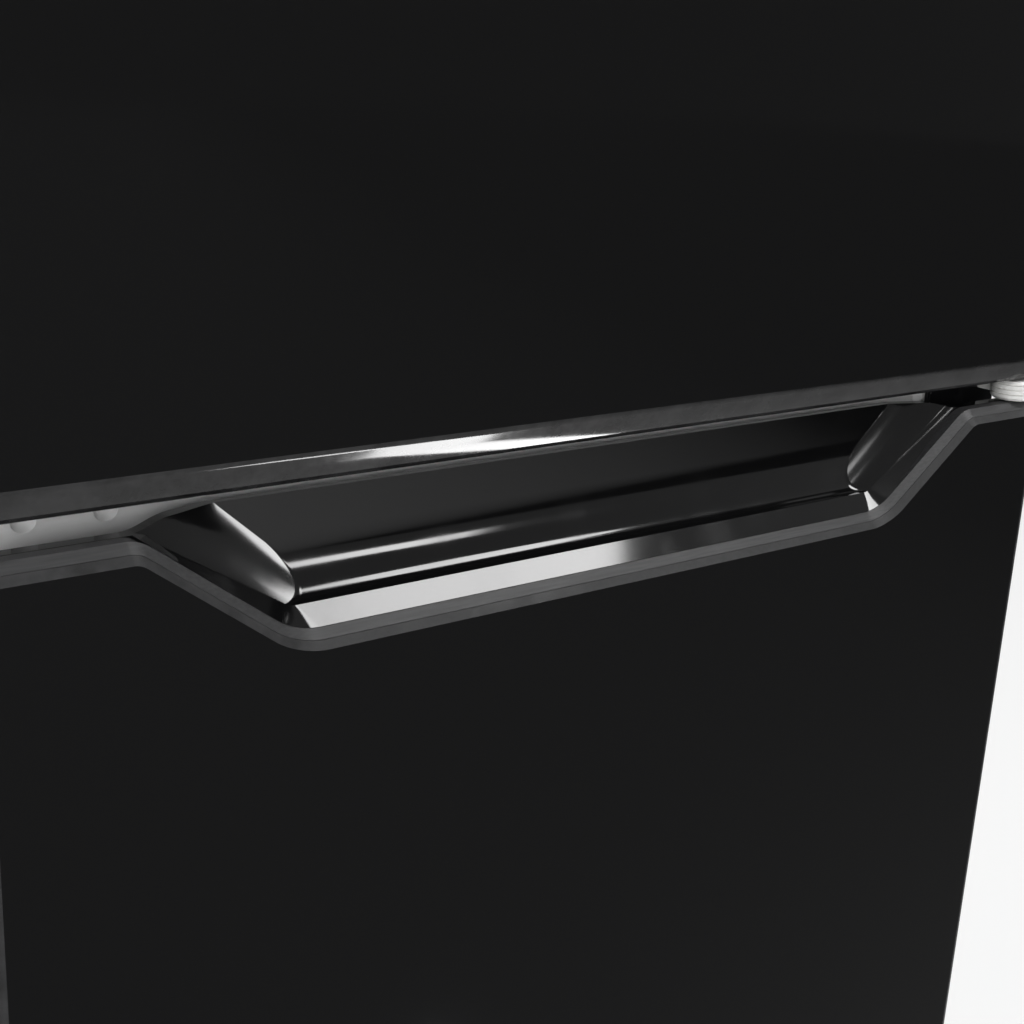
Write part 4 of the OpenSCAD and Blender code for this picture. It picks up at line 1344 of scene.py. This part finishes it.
@dataclass
class Cabinet(Assembly):
    """Cabinet panels, rails, feet and fixings."""

    rounding: dict[str, float] = edges(
        left_side_panel=0.3,
        right_side_panel=0.3,
        back_panel=0.3,
        top_panel=0.3,
        base_pan=0.3,
        toe_kick=0.3,
        front_cross_rail=0.5,
        lower_cross_rail=0.3,
        power_gland=0.8,
        cabinet_screws=0.15,
        front_left_leg=0.4,
        front_right_leg=0.4,
        rear_left_leg=0.4,
        rear_right_leg=0.4,
        drawer_switch=0.5,
        track_brackets=0.3,
        cabinet_tracks=0.3,
        front_axles=0.2,
    )
    flute_r: float = 3.5 * MM
    flute_mouth: float = 3.1 * MM
    flute_foot: float = 10.3 * MM
    flute_h: float = 12 * MM
    flute_xs: tuple[float, ...] = (149.5 * MM, 169 * MM)
    bush_r: float = 7.4 * MM
    bush_h: float = 6.9 * MM
    bush_lead: float = 0.9 * MM
    bush_ridges: int = 3
    bush_groove: float = 0.6 * MM
    bracket_d: float = 21 * MM
    bracket_half: float = 18.5 * MM
    bracket_shift: float = 11 * MM
    bracket_drop: float = 16 * MM
    bracket_thick: float = 2.5 * MM

    def build(self) -> None:
        """Builds the panels, the turned guide bush and its bracket."""
        super().build()
        self.guide_bush()

    def carve(self, node: str, piece: bpy.types.Object) -> None:
        """Presses the flutes into the front rail, at both ends.

        Args:
            node: The CAD node.
            piece: Its copy.
        """
        if node != "front_cross_rail":
            return
        low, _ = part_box(node)
        depth = low.y - math.sqrt(self.flute_r**2 - self.flute_mouth**2)
        for side in (-1, 1):
            for x in self.flute_xs:
                self.flute(piece, Vector((side * x, depth, low.z + self.flute_foot)))

    def flute(self, rail: bpy.types.Object, foot: Vector) -> None:
        """Presses one upright round-ended flute into the rail.

        Args:
            rail: The rail.
            foot: Centre of the flute's lower end.
        """
        punch = Bench.start(
            "punch",
            bpy.ops.mesh.primitive_uv_sphere_add,
            segments=32,
            ring_count=17,
            radius=self.flute_r,
            location=foot,
        )
        bpy.ops.object.mode_set(mode="EDIT")
        bpy.ops.mesh.select_mode(type="VERT")
        Bench.pick(punch, lambda co: co.z > foot.z)
        bpy.ops.transform.translate(value=(0, 0, self.flute_h))
        bpy.ops.object.mode_set(mode="OBJECT")
        Bench.combine(rail, "DIFFERENCE", punch)

    def guide_bush(self) -> None:
        """Turns the nylon guide bush with its ridges, and hangs it on its bracket."""
        low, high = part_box("drawer_guide_bush")
        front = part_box("console_glass")[0].y
        radius, height, lead, groove = self.bush_r, self.bush_h, self.bush_lead, self.bush_groove
        centre = Vector(((low.x + high.x) / 2 + 0.6 * MM, front + lead + radius, low.z))
        profile = [(radius - 1 * MM, 0.0), (radius, lead)]
        pitch = (height - 2 * lead) / self.bush_ridges
        for i in range(self.bush_ridges):
            z = lead + (i + 1) * pitch
            profile += [(radius, z - groove), (radius - groove, z - groove * 0.6)]
            profile += [(radius - groove, z - groove * 0.2), (radius, z)]
        profile += [(radius, height - lead), (radius - lead, height)]
        bush = Bench.turned("guide_bush", profile, centre, 64)
        Bench.smooth(bush, 30)
        back = front + self.bracket_d
        stem = self.bar(
            "guide_stem",
            Vector((centre.x - 3 * MM, centre.y, low.z + 1.5 * MM)),
            Vector((centre.x + 3 * MM, back, low.z + height - 1.5 * MM)),
        )
        Bench.join(bush, stem)
        Bench.fit(bush, "white_nylon", "cabinet", ("drawer_guide_bush",))
        self.guide_bracket(centre, back, low.z + height + 0.5 * MM)

    def guide_bracket(self, centre: Vector, back: float, top: float) -> None:
        """Bends the bracket behind the console's right end that carries the bush.

        Args:
            centre: The bush's centre.
            back: Front of the bracket's upright leaf.
            top: Underside of its level leaf, which reaches forward to the console frame.
        """
        left = centre.x - self.bracket_shift - self.bracket_half
        right = left + 2 * self.bracket_half
        upright = self.bar(
            "guide_bracket",
            Vector((left, back, top - self.bracket_drop)),
            Vector((right, back + self.bracket_thick, top + self.bracket_thick)),
        )
        level = self.bar(
            "level_leaf",
            Vector((left, centre.y - 0.3 * MM, top)),
            Vector((right, back + 1 * MM, top + self.bracket_thick)),
        )
        Bench.join(upright, level)
        Bench.smooth(upright, 30)
        Bench.fit(upright, "console_backing", "cabinet")

    @staticmethod
    def bar(name: str, low: Vector, high: Vector) -> bpy.types.Object:
        """A bar with softened edges.

        Args:
            name: The bar's name.
            low: Its lowest corner.
            high: Its highest corner.

        Returns:
            The bar.
        """
        cube = bpy.ops.mesh.primitive_cube_add
        bar = Bench.start(name, cube, size=1, location=(low + high) / 2, scale=high - low)
        Bench.soften(bar, 0.5 * MM)
        return bar


@dataclass
class Drawer(Assembly):
    """Drawer rails, cradle, bin and rollers."""

    rounding: dict[str, float] = edges(
        drawer_cradle=0.3,
        drawer_rails=0.3,
        rear_axles=0.2,
        bin=0.8,
        bag_buttons=0.3,
        switch_magnet=0.5,
        front_rollers=0.3,
        rear_rollers=0.3,
    )


@dataclass
class Ram(Assembly):
    """Ram plate, box, crosshead and nuts."""

    rounding: dict[str, float] = edges(ram_plate=0.3, ram_box=0.4, crosshead=0.5, ram_nuts=0.6)


@dataclass
class Drive(Assembly):
    """Channels, bearings, power screws, pulleys, belt and gear motor."""

    rounding: dict[str, float] = edges(
        top_channel=0.4,
        lower_channel=0.4,
        screw_bearings=0.4,
        left_pulley=0.2,
        right_pulley=0.2,
        motor_pulley=0.2,
        drive_belt=0.3,
        gear_motor=0.5,
        motor_bracket=0.3,
    )
    thread_starts: int = 4
    thread_depth: float = 1.4 * MM
    thread_flank: float = 0.14
    thread_crest: float = 0.36
    thread_columns: int = 36
    collar_step: float = 4 * MM
    collar_h: float = 8 * MM
    nut_room: float = 10 * MM
    plain_end: float = 20 * MM
    chamfer: float = 0.8 * MM

    def build(self) -> None:
        """Builds the drive and cuts both power screws."""
        super().build()
        for node in ("left_power_screw", "right_power_screw"):
            self.power_screw(node)

    def power_screw(self, node: str) -> None:
        """Cuts a right-hand trapezoidal thread with several starts.

        Args:
            node: The CAD node of the plain screw.
        """
        low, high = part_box(node)
        collar = (high.x - low.x) / 2
        radius = collar - self.collar_step
        root = radius - self.thread_depth
        centre = Vector(((low.x + high.x) / 2, (low.y + high.y) / 2, 0))
        collar_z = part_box("ram_nuts")[0].z - joint_travel("ram_slide") - self.nut_room
        start = collar_z + self.collar_h
        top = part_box("screw_bearings")[1].z - self.plain_end
        thread = self.thread(radius, start, top)
        thread.data.transform(Matrix.Translation(centre))
        chamfer, inside = self.chamfer, 0.01 * MM
        profile = [
            (radius - chamfer, low.z),
            (radius, low.z + chamfer),
            (radius, collar_z),
            (collar - chamfer, collar_z),
            (collar, collar_z + chamfer),
            (collar, start - chamfer),
            (collar - chamfer, start),
            (root, start + inside),
            (root, top - inside),
            (radius, top),
            (radius, high.z - chamfer),
            (radius - chamfer, high.z),
        ]
        rod = Bench.turned(node + "_rod", profile, centre)
        Bench.smooth(rod, 30)
        Bench.join(rod, thread)
        Bench.stand_in(rod, node)

    @staticmethod
    def lead() -> float:
        """Travel of the nut for one turn of a screw."""
        couplings = frame["record"]["behaviour"]["couplings"]
        ratio = next(c["ratio"] for c in couplings if c["joint"] == "left_screw_spin")
        return 2 * math.pi / abs(ratio)

    def thread(self, radius: float, bottom: float, top: float) -> bpy.types.Object:
        """Sweeps the thread's profile up a right-hand helix and trims its ends.

        Args:
            radius: Outer radius of the thread.
            bottom: Lowest height.
            top: Greatest height.

        Returns:
            The threaded sleeve.
        """
        lead = self.lead()
        pitch = lead / self.thread_starts
        flank, crest = pitch * self.thread_flank, pitch * self.thread_crest
        root = radius - self.thread_depth
        points = []
        for i in range(self.thread_starts):
            z = bottom - lead + i * pitch
            points += [(root, z), (root, z + pitch - 2 * flank - crest)]
            points += [(radius, z + pitch - flank - crest), (radius, z + pitch - flank)]
        points.append((root, bottom))
        piece = Bench.start("thread", bpy.ops.mesh.primitive_plane_add, size=1)
        Bench.edit(piece, lambda: bpy.ops.mesh.delete(type="VERT"))
        links = [(i, i + 1) for i in range(len(points) - 1)]
        piece.data.from_pydata([(r, 0, z) for r, z in points], links, [])
        Bench.modify(
            piece,
            "SCREW",
            angle=2 * math.pi,
            screw_offset=lead,
            iterations=math.ceil((top - bottom) / lead) + 1,
            steps=self.thread_columns,
            render_steps=self.thread_columns,
            use_merge_vertices=True,
            merge_threshold=WELD,
            use_smooth_shade=False,
        )
        for height, above in ((bottom, False), (top, True)):
            cut = {"plane_co": (0, 0, height), "clear_inner": not above, "clear_outer": above}
            Bench.edit(piece, lambda c=cut: bpy.ops.mesh.bisect(plane_no=(0, 0, 1), **c))
        Bench.edit(
            piece,
            lambda: bpy.ops.mesh.remove_doubles(threshold=WELD),
            lambda: bpy.ops.mesh.normals_make_consistent(inside=False),
        )
        Bench.smooth(piece, 25)
        return piece


@dataclass
class OdourFilter(Assembly):
    """Filter box, its charcoal pad and the fan."""

    rounding: dict[str, float] = edges(
        filter_housing=0.4, charcoal_filter=0.6, fan_impeller=0.3, fan_motor=0.4
    )


# --------------------------------------------------------------------------- studio


@dataclass
class Studio:
    """Camera, floor and soft lights."""

    eye: Vector = field(default_factory=lambda: Vector((-0.2821, -0.6015, 0.7901)))
    azimuth: float = -38.3
    elevation: float = 16.6
    roll: float = 2.9
    lens: float = 52.73
    sensor: float = 36
    floor_size: float = 40
    pale: Colour = (0.93, 0.93, 0.93)
    backlight: float = 0.6
    surround: float = 0.45
    fade_turn: float = 0.41
    fade_end: float = 1.41
    fade_run: float = 1.53
    gleam: float = 1.4

    def camera(self) -> None:
        """Places the camera."""
        data = bpy.data.cameras.new("camera")
        data.lens = self.lens
        data.sensor_width = self.sensor
        data.clip_start = 0.02
        data.clip_end = 60
        camera = bpy.data.objects.new("camera", data)
        bpy.context.scene.collection.objects.link(camera)
        a, e = math.radians(-self.azimuth), math.radians(self.elevation)
        forward = Vector((math.sin(a) * math.cos(e), math.cos(a) * math.cos(e), -math.sin(e)))
        roll = Matrix.Rotation(math.radians(self.roll), 3, "Z").to_quaternion()
        camera.location = self.eye
        camera.rotation_mode = "QUATERNION"
        camera.rotation_quaternion = forward.to_track_quat("-Z", "Y") @ roll
        bpy.context.scene.camera = camera

    def floor(self) -> None:
        """Lays a wide pale floor that looks nearly white, and fades out in reflections."""
        plane = bpy.ops.mesh.primitive_plane_add
        floor = Bench.start("studio_floor", plane, size=self.floor_size, location=(0, 0, -0.5 * MM))
        shader = Shader("studio_floor")
        shader.put(Base_Color=self.pale, Roughness=0.8, Specular_IOR_Level=0.1)
        camera = shader.node("ShaderNodeLightPath", output="Is Camera Ray")
        glossy = shader.node("ShaderNodeLightPath", output="Is Glossy Ray")
        turned = shader.place(turn=(0, 0, -self.fade_turn))
        across = shader.node("ShaderNodeSeparateXYZ", inputs={0: turned})
        fade = ((self.fade_end - across) * (1 / self.fade_run)).clamped() * self.gleam
        strength = camera + (1 - camera) * fade
        glow = shader.node("ShaderNodeEmission", inputs={"Color": (1, 1, 1), "Strength": strength})
        share = (camera * self.backlight + glossy).clamped()
        matt = Wire(shader, shader.surface.outputs[0])
        mixed = shader.node("ShaderNodeMixShader", inputs={0: share, 1: matt, 2: glow})
        shader.tree.links.new(mixed.socket, shader.tree.nodes["Material Output"].inputs["Surface"])
        floor.data.materials.append(shader.material)

    def world(self) -> None:
        """Makes a soft surround that the camera sees as white."""
        world = bpy.data.worlds.new("surround")
        world.use_nodes = True
        bpy.context.scene.world = world
        tree = world.node_tree
        background = tree.nodes["Background"]
        paths = tree.nodes.new("ShaderNodeLightPath")
        strength = tree.nodes.new("ShaderNodeMapRange")
        tree.links.new(paths.outputs["Is Camera Ray"], strength.inputs["Value"])
        strength.inputs["To Min"].default_value = self.surround
        strength.inputs["To Max"].default_value = 1.0
        background.inputs["Color"].default_value = (1, 1, 1, 1)
        tree.links.new(strength.outputs["Result"], background.inputs["Strength"])

    def lamp(
        self,
        name: str,
        place: Sequence[float],
        aim: Sequence[float],
        size: Sequence[float],
        radiance: float,
        round_lamp: bool = False,
        lights_matt: bool = True,
    ) -> None:
        """Hangs one soft light that isn't itself in view.

        Args:
            name: The lamp's name.
            place: Where it hangs.
            aim: Where it points.
            size: Its width and height.
            radiance: How bright its face looks, where 1 is a white sheet.
            round_lamp: Whether it is an ellipse.
            lights_matt: Whether it lights matt surfaces too, or only shows in gloss.
        """
        data = bpy.data.lights.new(name, "AREA")
        data.shape = "ELLIPSE" if round_lamp else "RECTANGLE"
        data.size, data.size_y = size
        area = size[0] * size[1] * (math.pi / 4 if round_lamp else 1)
        data.energy = math.pi * area * radiance
        lamp = bpy.data.objects.new(name, data)
        bpy.context.scene.collection.objects.link(lamp)
        lamp.location = place
        lamp.rotation_mode = "QUATERNION"
        lamp.rotation_quaternion = (Vector(aim) - Vector(place)).to_track_quat("-Z", "Y")
        lamp.visible_camera = False
        lamp.visible_diffuse = lights_matt

    @staticmethod
    def toward(start: Sequence[float], azimuth: float, elevation: float, reach: float) -> Vector:
        """A place seen from a start in a direction.

        Args:
            start: Where the direction starts.
            azimuth: Degrees from -Y towards +X.
            elevation: Degrees above the horizon.
            reach: How far off it is, in metres.

        Returns:
            The place.
        """
        a, e = math.radians(azimuth), math.radians(elevation)
        level = math.cos(e)
        toward = Vector((math.sin(a) * level, -math.cos(a) * level, math.sin(e)))
        return Vector(start) + reach * toward

    def lights(self) -> None:
        """Hangs the lamps."""
        self.world()
        handle = (-0.05, -0.3, 0.66)
        self.lamp("key", (1.14, -1.09, 2.27), handle, (0.6, 0.6), 26, round_lamp=True)
        for name, (azimuth, elevation), reach, size, radiance in (
            ("floor_card", (30.2, 10), 8.0, (1.45, 0.8), 30),
            ("left_card", (67, 11.8), 3.0, (0.74, 0.36), 26),
            ("right_card", (6.5, 23.5), 6.0, (0.9, 2.0), 12),
            ("chamfer_card", (3.5, 48.5), 4.0, (0.8, 0.8), 24),
        ):
            place = self.toward(handle, azimuth, elevation, reach)
            self.lamp(name, place, handle, size, radiance, lights_matt=False)
        self.lamp(
            "kicker", (0.42, -0.64, 0.02), (-0.06, -0.3, 0.7), (0.44, 0.09), 30, lights_matt=False
        )
        self.lamp("front", (-1.5, -2.3, 1.1), (0, 0, 0.6), (1.4, 1.4), 4)
        self.lamp("left", (-2.6, 0.5, 1.7), (0, 0, 0.4), (1.4, 1.4), 3)
        self.lamp("rear", (0.8, 2.9, 2.0), (0, 0, 0.4), (1.6, 1.6), 4)


def main() -> None:
    """Builds the studio and every sub-assembly, in order."""
    logging.basicConfig(level=logging.INFO, format="%(message)s")
    bpy.context.scene.view_settings.view_transform = "Standard"
    studio = Studio()
    studio.camera()
    for assembly in (Console(), DrawerFront(), Cabinet(), Drawer(), Ram(), Drive(), OdourFilter()):
        LOG.info("building %s", type(assembly).__name__)
        assembly.build()
    studio.floor()
    studio.lights()


if __name__ == "__main__":
    main()
